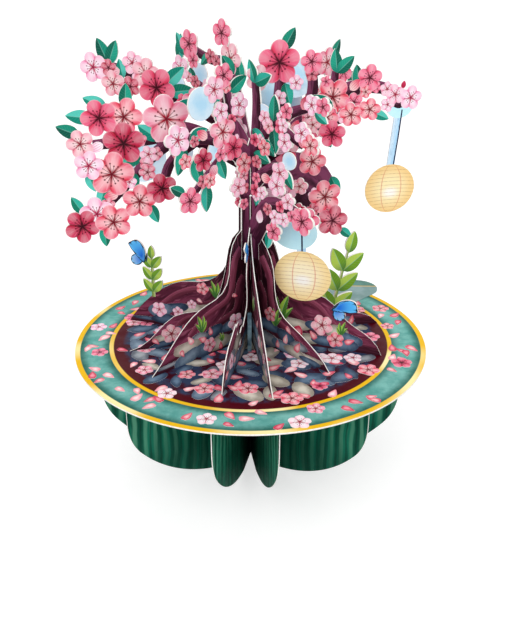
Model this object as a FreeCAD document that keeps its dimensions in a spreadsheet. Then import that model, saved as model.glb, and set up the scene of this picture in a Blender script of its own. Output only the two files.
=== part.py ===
"""Pop up card: a blossom tree of crossed card sheets that stands on a round tray over a bowl.

Units are millimetres and degrees. The bowl rests on z = 0, the trunk is the Z axis, the
front is towards -Y, and the card folds flat about the Y axis.
"""
import FreeCAD, Part
import math
import os

import Sketcher

Vector = FreeCAD.Vector

os.makedirs("parts", exist_ok=True)
doc = FreeCAD.newDocument("pop_up_card")


# Driving sizes

sheet = doc.addObject("Spreadsheet::Sheet", "sizes")
SIZES = (
    ("disc_radius", 100, "round tray"),
    ("disc_card", 0.9, "thickness of the doubled tray card"),
    ("sheet_card", 0.5, "thickness of every upright sheet"),
    ("near_angle", 11, "sheet planes, degrees from the fold line"),
    ("front_angle", 46, "sheet planes, degrees from the fold line"),
    ("side_angle", 74, "sheet planes, degrees from the fold line"),
    ("fit_gap", 0.15, "clearance of slots and feet"),
    ("bowl_depth", 79, "bowl below the tray"),
    ("bowl_radius", 87.5, "bowl at the tray"),
    ("bowl_flat", 20, "flat foot of the bowl, from the axis"),
    ("belly_radius", 102, "large curve under the bowl"),
    ("corner_radius", 35, "curve from the belly to the upright rim"),
    ("foot_reach", 46, "middle of the sheet feet, from the axis"),
    ("foot_width", 8, "feet that pass through the tray"),
    ("foot_drop", 3, "length of a foot below the tray"),
    ("root_height", 69, "top of the roots above the tray"),
    ("tree_height", 172, "top of the tree above the tray"),
    ("tree_reach", 100, "widest reach of the tree from the axis"),
    ("trunk_half", 6.5, "half width of the trunk"),
    ("window_width", 12, "dark opening of the tray"),
    ("window_front", 18.5, "front edge of the opening, from the axis"),
    ("window_back", 4, "back edge of the opening, from the axis"),
    ("strip_width", 2.2, "upright strip in the opening"),
    ("strip_height", 24, "strip above the tray"),
    ("strip_foot", 8, "glued foot of the strip under the tray"),
    ("tab_angle", 137, "pull tab, degrees from the front"),
    ("tab_width", 27, "pull tab"),
    ("tab_overhang", 14, "pull tab beyond the rim of the tray"),
    ("tab_overlap", 25, "pull tab on the tray"),
    ("lantern_width", 32, "centre lantern"),
    ("lantern_height", 29, "centre lantern"),
)
sheet.set("A1", "size")
sheet.set("B1", "value")
sheet.set("C1", "what it is")
for row, (alias, value, note) in enumerate(SIZES, start=2):
    sheet.set("A%d" % row, alias)
    sheet.set("B%d" % row, str(value))
    sheet.setAlias("B%d" % row, alias)
    sheet.set("C%d" % row, note)
doc.recompute()


def size(alias):
    return float(sheet.get(alias))


PLANES = (
    ("1", "near_angle", False),
    ("2", "front_angle", False),
    ("3", "side_angle", False),
    ("4", "side_angle", True),
    ("5", "front_angle", True),
    ("6", "near_angle", True),
)
closest = math.radians(2 * size("near_angle"))
card = size("sheet_card")
slot_half = 0.5 * card / math.tan(0.5 * closest) + size("fit_gap")


def plane_angle(alias, mirrored):
    return 180 - size(alias) if mirrored else size(alias)


def angle_expression(alias, mirrored):
    return "180 - sizes.%s" % alias if mirrored else "sizes.%s" % alias


# Sketch helpers

def new_body(name, label):
    body = doc.addObject("PartDesign::Body", name)
    body.Label = label
    return body


def origin_plane(body, role):
    for feature in body.Origin.OriginFeatures:
        if feature.Role == role:
            return feature
    raise ValueError(role)


def new_sketch(body, name, role):
    sketch = body.newObject("Sketcher::SketchObject", name)
    sketch.AttachmentSupport = (origin_plane(body, role), [""])
    sketch.MapMode = "FlatFace"
    return sketch


def bind(sketch, kind, items, name, expression):
    index = sketch.addConstraint(Sketcher.Constraint(kind, *items))
    sketch.renameConstraint(index, name)
    sketch.setExpression("Constraints." + name, expression)


def slot_rectangle(sketch, tag, left, right, low, high):
    """A rectangle bound on all four sides; each side is (start value, expression)."""
    x0, x1, y0, y1 = left[0], right[0], low[0], high[0]
    corners = (Vector(x0, y0, 0), Vector(x1, y0, 0), Vector(x1, y1, 0), Vector(x0, y1, 0))
    first = sketch.GeometryCount
    for k in range(4):
        sketch.addGeometry(Part.LineSegment(corners[k], corners[(k + 1) % 4]), False)
    for k in range(4):
        link = Sketcher.Constraint("Coincident", first + k, 2, first + (k + 1) % 4, 1)
        sketch.addConstraint(link)
    sketch.addConstraint(Sketcher.Constraint("Horizontal", first))
    sketch.addConstraint(Sketcher.Constraint("Horizontal", first + 2))
    sketch.addConstraint(Sketcher.Constraint("Vertical", first + 1))
    sketch.addConstraint(Sketcher.Constraint("Vertical", first + 3))
    bind(sketch, "DistanceX", (-1, 1, first, 1, x0), tag + "_left", left[1])
    bind(sketch, "DistanceX", (-1, 1, first, 2, x1), tag + "_right", right[1])
    bind(sketch, "DistanceY", (-1, 1, first, 1, y0), tag + "_low", low[1])
    bind(sketch, "DistanceY", (-1, 1, first + 2, 1, y1), tag + "_high", high[1])


def finish_part(feature, label, z_expression, turn_expression):
    """Name a computed part, then place it by the sheet."""
    feature.Label = label
    feature.Placement = FreeCAD.Placement(Vector(0, 0, 0), FreeCAD.Rotation(Vector(0, 0, 1), 45))
    feature.setExpression("Placement.Base.z", z_expression)
    feature.setExpression("Placement.Rotation.Angle", turn_expression)


NODES = []
TRAY_TOP = "sizes.bowl_depth + sizes.disc_card"
SLOT_HALF = "(sizes.sheet_card / 2 / tan(sizes.near_angle * 1 deg) + sizes.fit_gap)"


# Tray

def make_tray():
    body = new_body("Tray", "tray_disc")
    outline = new_sketch(body, "TrayOutline", "XY_Plane")
    radius = size("disc_radius")
    outline.addGeometry(Part.Circle(Vector(0, 0, 0), Vector(0, 0, 1), radius), False)
    outline.addConstraint(Sketcher.Constraint("Coincident", 0, 3, -1, 1))
    bind(outline, "Radius", (0, radius), "rim", "sizes.disc_radius")
    pad = body.newObject("PartDesign::Pad", "TrayPad")
    pad.Profile = outline
    pad.setExpression("Length", "sizes.disc_card")

    window = new_sketch(body, "WindowOutline", "XY_Plane")
    half = size("window_width") / 2
    slot_rectangle(window, "window", (-half, "-sizes.window_width / 2"),
                   (half, "sizes.window_width / 2"),
                   (-size("window_front"), "-sizes.window_front"),
                   (-size("window_back"), "-sizes.window_back"))
    opening = body.newObject("PartDesign::Pocket", "WindowPocket")
    opening.Profile = window
    opening.Type = 1
    opening.Reversed = True
    pad.Visibility = False

    for number, alias, mirrored in PLANES:
        for side in (-1, 1):
            make_foot_slot(body, number + ("a" if side < 0 else "b"), alias, mirrored, side)
    body.setExpression("Placement.Base.z", "sizes.bowl_depth")
    NODES.append(body)


def make_foot_slot(body, tag, alias, mirrored, side):
    """One slot of the tray; the sketch is turned into the plane of its sheet."""
    sketch = new_sketch(body, "FootSlot" + tag, "XY_Plane")
    wide = "(sizes.sheet_card / 2 + sizes.fit_gap)"
    half = card / 2 + size("fit_gap")
    reach = "%d * sizes.foot_reach" % side
    spread = "(sizes.foot_width / 2 + sizes.fit_gap)"
    middle = side * size("foot_reach")
    stretch = size("foot_width") / 2 + size("fit_gap")
    slot_rectangle(sketch, "slot", (-half, "-" + wide), (half, wide),
                   (middle - stretch, reach + " - " + spread),
                   (middle + stretch, reach + " + " + spread))
    turn = FreeCAD.Rotation(Vector(0, 0, 1), plane_angle(alias, mirrored))
    sketch.AttachmentOffset = FreeCAD.Placement(Vector(0, 0, 0), turn)
    sketch.setExpression("AttachmentOffset.Rotation.Angle", angle_expression(alias, mirrored))
    pocket = body.newObject("PartDesign::Pocket", "FootPocket" + tag)
    pocket.Profile = sketch
    pocket.Type = 1
    pocket.Reversed = True


# Bowl

def bowl_curve():
    """Where the two curves of the half outline have their middles, and where they meet.

    The belly's middle is rise above the tray on the axis, the corner's is drop below the
    tray and side from the axis, and they meet at lean from the vertical.
    """
    depth, rim, flat = size("bowl_depth"), size("bowl_radius"), size("bowl_flat")
    belly, corner = size("belly_radius"), size("corner_radius")
    rise = math.sqrt(belly ** 2 - flat ** 2) - depth
    side = rim - corner
    drop = math.sqrt((belly - corner) ** 2 - side ** 2) - rise
    return rise, drop, side, math.atan2(side, drop + rise)


def make_bowl_sheet(number, alias, mirrored):
    body = new_body("BowlSheet" + number, "pot_sheet_" + number)
    depth, rim, flat = size("bowl_depth"), size("bowl_radius"), size("bowl_flat")
    rise, drop, side, lean = bowl_curve()
    belly, corner = size("belly_radius"), size("corner_radius")
    half = new_sketch(body, "HalfOutline" + number, "YZ_Plane")
    line, up = Part.LineSegment, Vector(0, 0, 1)
    half.addGeometry(line(Vector(0, 0, 0), Vector(0, -depth, 0)), False)
    half.addGeometry(line(Vector(0, -depth, 0), Vector(flat, -depth, 0)), False)
    start = math.atan2(-depth - rise, flat)
    big = Part.Circle(Vector(0, rise, 0), up, belly)
    half.addGeometry(Part.ArcOfCircle(big, start, lean - math.pi / 2), False)
    small = Part.Circle(Vector(side, -drop, 0), up, corner)
    half.addGeometry(Part.ArcOfCircle(small, lean - math.pi / 2, 0), False)
    half.addGeometry(line(Vector(rim, -drop, 0), Vector(rim, 0, 0)), False)
    half.addGeometry(line(Vector(rim, 0, 0), Vector(0, 0, 0)), False)
    for before, after in ((0, 1), (1, 2), (4, 5), (5, 0)):
        half.addConstraint(Sketcher.Constraint("Coincident", before, 2, after, 1))
    half.addConstraint(Sketcher.Constraint("Tangent", 2, 2, 3, 1))
    half.addConstraint(Sketcher.Constraint("Tangent", 3, 2, 4, 1))
    half.addConstraint(Sketcher.Constraint("Coincident", 0, 1, -1, 1))
    half.addConstraint(Sketcher.Constraint("PointOnObject", 2, 3, -2))
    half.addConstraint(Sketcher.Constraint("Vertical", 0))
    half.addConstraint(Sketcher.Constraint("Vertical", 4))
    half.addConstraint(Sketcher.Constraint("Horizontal", 1))
    half.addConstraint(Sketcher.Constraint("Horizontal", 5))
    bind(half, "DistanceY", (0, 2, 0, 1, depth), "depth", "sizes.bowl_depth")
    bind(half, "DistanceX", (1, 1, 1, 2, flat), "flat", "sizes.bowl_flat")
    bind(half, "DistanceX", (5, 2, 5, 1, rim), "rim", "sizes.bowl_radius")
    bind(half, "Radius", (2, belly), "belly", "sizes.belly_radius")
    bind(half, "Radius", (3, corner), "corner", "sizes.corner_radius")
    pad = body.newObject("PartDesign::Pad", "HalfPad" + number)
    pad.Profile = half
    pad.Midplane = True
    pad.setExpression("Length", "sizes.sheet_card")
    mirror = body.newObject("PartDesign::Mirrored", "WholeSheet" + number)
    mirror.Originals = [pad]
    mirror.MirrorPlane = (half, ["V_Axis"])
    body.Tip = mirror

    cuts = new_sketch(body, "SlotOutline" + number, "YZ_Plane")
    step = "sizes.bowl_depth / %d" % len(PLANES)
    share = depth / len(PLANES)
    above, below = int(number) - 1, int(number)
    spare = 5
    across = ((-slot_half, "-" + SLOT_HALF), (slot_half, SLOT_HALF))
    if above > 0:
        slot_rectangle(cuts, "upper", across[0], across[1],
                       (-above * share, "-%d * %s" % (above, step)), (spare, "%d" % spare))
    if below < len(PLANES):
        slot_rectangle(cuts, "lower", across[0], across[1],
                       (-depth - spare, "-sizes.bowl_depth - %d" % spare),
                       (-below * share, "-%d * %s" % (below, step)))
    for side_sign in (-1, 1):
        middle = side_sign * size("foot_reach")
        spread = size("foot_width") / 2 + size("fit_gap")
        reach = "%d * sizes.foot_reach" % side_sign
        wide = "(sizes.foot_width / 2 + sizes.fit_gap)"
        slot_rectangle(cuts, "notch_" + ("a" if side_sign < 0 else "b"),
                       (middle - spread, reach + " - " + wide),
                       (middle + spread, reach + " + " + wide),
                       (-size("foot_drop") - size("fit_gap"), "-sizes.foot_drop - sizes.fit_gap"),
                       (spare, "%d" % spare))
    pocket = body.newObject("PartDesign::Pocket", "SheetSlots" + number)
    pocket.Profile = cuts
    pocket.Type = 1
    pocket.Midplane = True
    turn = FreeCAD.Rotation(Vector(0, 0, 1), plane_angle(alias, mirrored))
    body.Placement = FreeCAD.Placement(Vector(0, 0, 0), turn)
    body.setExpression("Placement.Base.z", "sizes.bowl_depth")
    body.setExpression("Placement.Rotation.Angle", angle_expression(alias, mirrored))
    NODES.append(body)


# Pull tab and strip

def make_note_tab():
    body = new_body("NoteTab", "note_tab")
    outline = new_sketch(body, "TabOutline", "XY_Plane")
    root = size("disc_radius") - size("tab_overlap")
    tip = size("disc_radius") + size("tab_overhang")
    half = size("tab_width") / 2
    line = Part.LineSegment
    outline.addGeometry(line(Vector(-half, -root, 0), Vector(half, -root, 0)), False)
    outline.addGeometry(line(Vector(half, -root, 0), Vector(half, half - tip, 0)), False)
    round_end = Part.Circle(Vector(0, half - tip, 0), Vector(0, 0, 1), half)
    outline.addGeometry(Part.ArcOfCircle(round_end, math.pi, 2 * math.pi), False)
    outline.addGeometry(line(Vector(-half, half - tip, 0), Vector(-half, -root, 0)), False)
    outline.addConstraint(Sketcher.Constraint("Coincident", 0, 2, 1, 1))
    outline.addConstraint(Sketcher.Constraint("Coincident", 3, 2, 0, 1))
    outline.addConstraint(Sketcher.Constraint("Tangent", 1, 2, 2, 2))
    outline.addConstraint(Sketcher.Constraint("Tangent", 3, 1, 2, 1))
    outline.addConstraint(Sketcher.Constraint("Horizontal", 0))
    outline.addConstraint(Sketcher.Constraint("Vertical", 1))
    outline.addConstraint(Sketcher.Constraint("PointOnObject", 2, 3, -2))
    bind(outline, "DistanceX", (0, 1, 0, 2, 2 * half), "width", "sizes.tab_width")
    bind(outline, "DistanceY", (0, 1, -1, 1, root), "root",
         "sizes.disc_radius - sizes.tab_overlap")
    bind(outline, "DistanceY", (2, 3, -1, 1, tip - half), "middle",
         "sizes.disc_radius + sizes.tab_overhang - sizes.tab_width / 2")
    pad = body.newObject("PartDesign::Pad", "TabPad")
    pad.Profile = outline
    pad.setExpression("Length", "sizes.sheet_card")
    turn = FreeCAD.Rotation(Vector(0, 0, 1), size("tab_angle"))
    body.Placement = FreeCAD.Placement(Vector(0, 0, 0), turn)
    body.setExpression("Placement.Base.z", TRAY_TOP)
    body.setExpression("Placement.Rotation.Angle", "sizes.tab_angle")
    NODES.append(body)


def make_spine_strip():
    """A strip folded to a right angle: its foot is glued under the tray, its leg stands up."""
    leg = doc.addObject("Part::Box", "StripLeg")
    leg.setExpression("Length", "sizes.strip_width")
    leg.setExpression("Width", "sizes.sheet_card")
    leg.setExpression("Height", "sizes.strip_height + sizes.disc_card + sizes.sheet_card")
    leg.setExpression("Placement.Base.x", "-sizes.strip_width / 2")
    leg.setExpression("Placement.Base.y", "-sizes.window_front")
    leg.setExpression("Placement.Base.z", "-sizes.sheet_card")
    foot = doc.addObject("Part::Box", "StripFoot")
    foot.setExpression("Length", "sizes.strip_width")
    foot.setExpression("Width", "sizes.strip_foot + sizes.sheet_card")
    foot.setExpression("Height", "sizes.sheet_card")
    foot.setExpression("Placement.Base.x", "-sizes.strip_width / 2")
    foot.setExpression("Placement.Base.y", "-sizes.window_front - sizes.strip_foot")
    foot.setExpression("Placement.Base.z", "-sizes.sheet_card")
    strip = doc.addObject("Part::Fuse", "SpineStrip")
    strip.Base = leg
    strip.Tool = foot
    strip.Refine = True
    strip.Label = "spine_strip"
    strip.setExpression("Placement.Base.z", "sizes.bowl_depth")
    NODES.append(strip)


# Outlines of the tree
# A point is (reach, rise) on a drawing 100 wide and 172 high, stretched to the real tree.
# What grows on the roots is drawn for roots 69 high, and follows them.

REACH = size("tree_reach") / 100
RISE = size("tree_height") / 172
ROOT_RISE = size("root_height") / 69


def flat_face(points):
    """A flat outline in the sheet's plane, always drawn the same way round."""
    corners = [Vector(0, -reach, rise) for reach, rise in points]
    face = Part.Face(Part.makePolygon(corners + corners[:1]))
    if face.normalAt(0, 0).x < 0:
        face = Part.Face(Part.makePolygon(corners[::-1] + corners[-1:]))
    return face


def drawn_face(points, tall=RISE):
    """A flat outline given on the drawing, stretched whole to the real tree."""
    return flat_face([(reach * REACH, rise * tall) for reach, rise in points])


def around(reach, rise, distance, degrees):
    angle = math.radians(degrees)
    return (reach + distance * math.cos(angle), rise + distance * math.sin(angle))


def blossom(reach, rise, across, turn=0):
    """Five round petals: each is an arc about a seat, cut where it meets the next petal."""
    seat, round_off = 0.29 * across, 0.21 * across
    leans = (-36, -20, 0, 20) if across > 11 else (-36, -12, 12)
    points = []
    for petal in range(5):
        for lean in leans:
            tilt = math.radians(lean)
            out = seat * math.cos(tilt) + math.sqrt(round_off ** 2 - (seat * math.sin(tilt)) ** 2)
            points.append(around(reach, rise, out, turn + 72 * petal + lean))
    return drawn_face(points)


def leaf(reach, rise, length, degrees, tall=RISE):
    """A pointed oval from its stem outwards."""
    points = []
    for side in (1, -1):
        steps = (0.0, 0.28, 0.65) if side > 0 else (1.0, 0.65, 0.28)
        for along in steps:
            swell = side * 0.27 * length * abs(math.sin(math.pi * along ** 0.8)) ** 0.75
            stem = around(reach, rise, along * length, degrees)
            points.append(around(stem[0], stem[1], swell, degrees + 90))
    return drawn_face(points, tall)


def bough(points, tall=RISE):
    """A tapering branch along (reach, rise, width) points."""
    left, right = [], []
    for k, (reach, rise, width) in enumerate(points):
        before = points[max(k - 1, 0)]
        after = points[min(k + 1, len(points) - 1)]
        run = math.degrees(math.atan2(after[1] - before[1], after[0] - before[0]))
        left.append(around(reach, rise, width / 2, run + 90))
        right.append(around(reach, rise, width / 2, run - 90))
    return drawn_face(left + right[::-1], tall)


def patch(reach, rise, across):
    """A round patch of sky that ties the branches together."""
    sides = 10
    return drawn_face([around(reach, rise, across / 2, 360 / sides * k)
                       for k in range(sides)])


def sprig(reach, rise, height, lean):
    """A sprout: a stem with pairs of narrow leaves."""
    tip = around(reach, rise, height, 90 - lean)
    faces = [bough([(reach, rise, 2.2), (tip[0], tip[1], 1.0)], ROOT_RISE)]
    for share in (0.12, 0.4, 0.68):
        base = around(reach, rise, share * height, 90 - lean)
        for side in (-1, 1):
            faces.append(leaf(base[0], base[1], 0.36 * height, 90 - lean + 38 * side,
                              ROOT_RISE))
    faces.append(leaf(tip[0], tip[1] - 3, 0.3 * height, 90 - lean, ROOT_RISE))
    return faces


def butterfly(reach, rise, span, lean):
    """One pair of wings seen from the side: a tall fore wing and a round hind wing."""
    fore = [around(reach, rise, 0.12 * span, lean - 90)]
    for out, turn in ((0.62, 8), (0.66, 22), (0.62, 38), (0.45, 52), (0.2, 66)):
        fore.append(around(reach, rise, out * span, lean + turn))
    hind = [around(reach, rise, 0.12 * span, lean + 60)]
    for out, turn in ((0.3, 0), (0.42, -18), (0.46, -38), (0.4, -58), (0.22, -76)):
        hind.append(around(reach, rise, out * span, lean + turn))
    return [drawn_face(fore, ROOT_RISE), drawn_face(hind, ROOT_RISE)]


# Roots: edge of each half sheet from the trunk out to the toe, by its angle from the front

ROOTS = {
    11: ((4, 57), (12, 45), (25, 34), (37, 24), (52, 13), (62, 5), (70, 0)),
    46: ((10, 61), (17, 50), (19, 36), (24, 23), (35, 17), (45, 12), (53, 7), (60, 0)),
    74: ((13, 60), (17, 48), (22, 38), (30, 33), (39, 32), (47, 28), (55, 19), (66, 12), (76, 0)),
    106: ((13, 58), (17, 44), (20, 30), (28, 18), (40, 11), (54, 9), (66, 8), (79, 0)),
    134: ((12, 60), (16, 47), (20, 34), (30, 24), (42, 18), (54, 12), (64, 6), (70, 0)),
    169: ((6, 58), (10, 46), (16, 34), (28, 24), (42, 14), (54, 7), (64, 0)),
    -169: ((7, 58), (11, 45), (18, 32), (30, 22), (44, 14), (56, 6), (66, 0)),
    -134: ((11, 60), (15, 46), (20, 34), (32, 27), (44, 20), (56, 14), (72, 0)),
    -106: ((8, 62), (11, 53), (14, 44), (21, 35), (30, 31), (41, 30), (54, 24), (66, 14), (77, 0)),
    -74: ((11, 60), (14, 46), (17, 33), (23, 22), (32, 20), (43, 19), (52, 12), (70, 0)),
    -46: ((8, 66), (13, 60), (15, 51), (17, 39), (22, 33), (32, 30), (42, 26), (52, 18), (70, 0)),
    -11: ((5, 62), (9, 50), (8, 36), (10, 24), (18, 17), (33, 7), (36, 25), (41, 23), (54, 18),
          (62, 9), (66, 0)),
}

# Branches, blossoms, leaves and sky patches of each half sheet

CANOPY = {
    46: {
        "boughs": (((0, 104, 12), (10, 120, 9), (18, 127, 7), (32, 133, 5), (42, 136, 4)),
                   ((18, 126, 6), (28, 121, 5), (37, 117, 4)),
                   ((3, 92, 8), (14, 101, 6), (22, 104, 4)),
                   ((2, 62, 12), (10, 76, 12), (16, 83, 9), (28, 84, 6), (38, 82, 4)),
                   ((4, 112, 7), (5, 132, 6), (4, 144, 5))),
        "blossoms": ((36, 123, 11, 10), (42, 137, 10, 50), (22, 101, 12, 0), (20, 94, 12, 40),
                     (9, 88, 7, 0), (28, 87, 9, 20), (38, 79, 15, 0), (31, 80, 7, 10),
                     (26, 132, 8, 20), (11, 112, 9, 30), (25, 117, 10, 60), (49, 137, 9, 0),
                     (18, 69, 11, 15), (19, 77, 8, 30), (42, 118, 11, 30), (11, 127, 8, 50),
                     (4, 115, 7, 0), (24, 125, 7, 10), (25, 77, 8, 0)),
        "leaves": ((4, 143, 12, 112), (4, 143, 12, 24), (17, 126, 13, 88), (17, 123, 13, 278),
                   (24, 103, 11, 308), (15, 68, 10, 260), (2, 120, 11, 330), (3, 108, 12, 345),
                   (6, 90, 10, 262), (44, 134, 9, 330), (10, 116, 11, 318)),
        "patches": ((9, 126, 15), (28, 108, 9)),
    },
    74: {
        "boughs": (((0, 104, 13), (16, 113, 9), (34, 124, 6), (56, 131, 5)),
                   ((0, 78, 13), (14, 80, 9), (27, 74, 6)),
                   ((0, 86, 10), (14, 89, 8), (27, 91, 6))),
        "blossoms": ((40, 128, 12, 0), (52, 130, 12, 30), (61, 133, 11, 10), (43, 120, 14, 20),
                     (22, 116, 13, 0), (27, 79, 8, 20), (27, 92, 9, 10), (20, 86, 11, 30),
                     (21, 76, 9, 0), (32, 74, 13, 5), (33, 124, 8, 0)),
        "leaves": ((43, 133, 14, 163), (62, 132, 9, 340), (16, 118, 11, 110)),
        "patches": ((10, 119, 14),),
    },
    106: {
        "boughs": (((0, 98, 14), (18, 112, 11), (34, 127, 9), (48, 136, 8), (62, 139, 7),
                    (80, 136, 5)),
                   ((14, 110, 8), (15, 130, 7), (16, 150, 5)),
                   ((30, 124, 7), (33, 138, 6), (32, 150, 5)),
                   ((44, 134, 5), (45, 147, 4)),
                   ((3, 84, 26), (20, 88, 38), (34, 86, 28), (46, 68, 8))),
        "blossoms": ((15, 152, 22, 18), (4, 145, 13, 0), (32, 152, 12, 30), (64, 143, 14, 10),
                     (44, 134, 20, 50), (19, 108, 15, 20), (34, 101, 16, 0), (42, 81, 19, 30),
                     (47, 67, 18, 5), (35, 74, 8, 20), (62, 136, 7, 0), (24, 142, 8, 10),
                     (40, 142, 6, 0), (56, 131, 10, 30)),
        "leaves": ((46, 146, 12, 98), (46, 146, 12, 42), (58, 139, 11, 98), (17, 158, 12, 60),
                   (18, 142, 12, 285), (45, 92, 11, 300), (52, 62, 9, 320), (26, 108, 10, 80)),
        "patches": ((24, 144, 19), (12, 134, 20)),
    },
    134: {
        "boughs": (((0, 104, 12), (8, 122, 9), (20, 134, 7), (38, 142, 6), (58, 146, 5),
                    (72, 143, 4)),
                   ((12, 122, 6), (34, 119, 5), (66, 114, 4)),
                   ((3, 88, 9), (18, 96, 6), (34, 92, 4))),
        "blossoms": ((56, 148, 16, 0), (40, 143, 13, 20), (22, 138, 16, 40), (53, 115, 16, 10),
                     (36, 121, 14, 0), (12, 129, 13, 30), (70, 142, 14, 50), (67, 120, 13, 5),
                     (34, 93, 14, 0), (20, 99, 11, 20), (46, 132, 11, 15)),
        "leaves": ((60, 149, 12, 60), (30, 139, 13, 100), (56, 112, 13, 300), (39, 117, 12, 280),
                   (28, 94, 12, 255), (73, 140, 12, 340), (14, 136, 12, 95)),
        "patches": ((30, 129, 16), (52, 127, 18)),
    },
    -134: {
        "boughs": (((0, 104, 12), (6, 122, 9), (10, 138, 7), (17, 150, 6), (32, 152, 5),
                    (46, 157, 4)),
                   ((8, 128, 7), (28, 134, 5), (53, 143, 4))),
        "blossoms": ((46, 158, 15, 0), (20, 165, 14, 20), (14, 153, 16, 40), (54, 145, 14, 0),
                     (43, 150, 9, 10), (30, 137, 12, 30), (14, 134, 12, 0), (8, 118, 13, 20),
                     (29, 153, 8, 5)),
        "leaves": ((55, 149, 14, 100), (50, 152, 13, 60), (46, 146, 12, 250), (30, 154, 9, 320),
                   (24, 142, 11, 200), (6, 142, 13, 80)),
        "patches": ((20, 130, 15), (38, 143, 12)),
    },
    -106: {
        "boughs": (((0, 104, 12), (12, 122, 10), (30, 130, 8), (50, 137, 7), (66, 145, 6),
                    (84, 149, 4)),),
        "blossoms": ((87, 147, 16, 0), (78, 147, 9, 20), (64, 150, 12, 10), (57, 145, 16, 30),
                     (51, 138, 21, 50), (66, 138, 11, 0), (30, 132, 14, 15), (14, 122, 13, 40),
                     (76, 139, 14, 10), (8, 110, 14, 10)),
        "leaves": ((78, 149, 14, 66), (78, 149, 13, 114), (46, 140, 14, 140), (44, 136, 14, 172),
                   (70, 142, 10, 80), (36, 128, 12, 300), (20, 130, 12, 100)),
        "patches": ((40, 140, 10),),
    },
    -74: {
        "boughs": (((0, 104, 13), (18, 113, 11), (36, 121, 9), (52, 118, 7), (80, 116, 5)),
                   ((36, 120, 7), (52, 108, 6), (66, 94, 5), (84, 77, 4)),
                   ((28, 116, 6), (42, 105, 5), (47, 92, 4))),
        "blossoms": ((43, 127, 24, 10), (64, 129, 19, 40), (76, 129, 18, 0), (65, 116, 21, 20),
                     (53, 110, 9, 0), (72, 101, 23, 30), (81, 81, 18, 10), (89, 75, 18, 50),
                     (73, 76, 19, 0), (59, 86, 18, 25), (47, 92, 16, 5), (86, 117, 14, 0),
                     (83, 106, 15, 30), (54, 101, 9, 0)),
        "leaves": ((63, 133, 12, 95), (79, 129, 13, 8), (72, 134, 12, 24), (47, 117, 13, 36),
                   (39, 130, 13, 155), (61, 101, 9, 265), (76, 95, 11, 288), (78, 74, 11, 268),
                   (54, 84, 11, 248), (56, 110, 14, 340), (84, 102, 10, 250), (86, 121, 12, 24),
                   (88, 82, 10, 60)),
        "patches": ((56, 108, 24), (66, 106, 16), (36, 110, 12)),
    },
    -46: {
        "boughs": (((0, 104, 12), (14, 113, 9), (26, 119, 7), (46, 121, 4)),
                   ((14, 112, 7), (28, 102, 5), (40, 92, 4)),
                   ((10, 112, 8), (14, 132, 5), (17, 147, 4)),
                   ((2, 84, 8), (9, 92, 5))),
        "blossoms": ((47, 121, 15, 0), (41, 90, 14, 30), (19, 121, 17, 15), (37, 119, 6, 0),
                     (18, 148, 12, 40), (12, 112, 13, 10), (8, 133, 12, 30), (9, 91, 11, 0),
                     (20, 131, 10, 0), (32, 109, 12, 20), (28, 98, 8, 0), (5, 103, 11, 20),
                     (24, 142, 13, 0), (43, 110, 8, 10), (21, 110, 7, 0)),
        "leaves": ((43, 117, 14, 290), (38, 110, 14, 250), (30, 96, 14, 272), (22, 108, 12, 248),
                   (40, 120, 12, 160), (14, 140, 13, 150), (24, 130, 13, 200), (11, 148, 12, 50),
                   (44, 94, 10, 30)),
        "patches": ((32, 136, 16), (22, 112, 13)),
    },
}


def root_edge(reaches):
    """Half a root sheet: a smooth edge from the top of the roots out to the toe."""
    edge = [Vector(0, 0, size("root_height"))] + [
        Vector(0, -reach * REACH, rise * ROOT_RISE) for reach, rise in reaches]
    curve = Part.BSplineCurve()
    curve.interpolate(edge)
    smooth = curve.discretize(Number=2 * len(edge))
    return flat_face([(0, 0)] + [(-point.y, point.z) for point in smooth])


def box_face(near, far, low, high):
    return flat_face(((near, low), (far, low), (far, high), (near, high)))


def feet():
    """The foot of a half sheet, which passes down through the tray."""
    middle, half = size("foot_reach"), size("foot_width") / 2
    depth = size("disc_card") + size("foot_drop")
    return box_face(middle - half, middle + half, -depth, 0)


def half_faces(angle):
    """All outlines of the half sheet that points to this angle from the front."""
    faces = [feet()]
    if angle in CANOPY:
        half = CANOPY[angle]
        trunk = size("trunk_half")
        faces.append(box_face(0, trunk, size("root_height") * 0.75, 108 * RISE))
        faces.extend(bough(points) for points in half["boughs"])
        faces.extend(patch(*where) for where in half["patches"])
        faces.extend(leaf(*where) for where in half["leaves"])
        faces.extend(blossom(*where) for where in half["blossoms"])
    if angle == -106:
        faces.extend(sprig(60, 18, 27, 0))
        faces.extend(butterfly(64, 41, 20, 30))
    if angle == 106:
        faces.extend(sprig(48, 7, 44, 13))
    if angle == 74:
        faces.extend(butterfly(48, 26, 20, -18))
    if angle == -11:
        faces.extend(butterfly(6.5, 54, 15, 20))
    return faces


def blank(face, start):
    """A card thick prism over an outline; start is the place of its near side."""
    prism = face.extrude(Vector(card, 0, 0))
    prism.translate(Vector(start, 0, 0))
    return prism


def half_blank(angle):
    """Half a sheet, cut back from the axis by the slot that the other sheets pass."""
    prisms = [blank(face, -card / 2) for face in half_faces(angle)]
    whole = blank(root_edge(ROOTS[angle]), -card / 2).multiFuse(prisms)
    far, high = 2 * size("disc_radius"), 2 * size("tree_height")
    return whole.common(blank(box_face(slot_half, far, -high, high), -card / 2))


# Angles the half sheets are drawn for; a sheet that is turned further keeps its drawing

DRAWN = {"near_angle": 11, "front_angle": 46, "side_angle": 74}

# Each sheet is whole across the axis only between these heights, in hundredths of the roots

BRIDGES = {"1": (2, 24), "6": (25, 47), "2": (48, 72), "5": (73, 97), "3": (98, 122),
           "4": (123, 150)}


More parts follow.
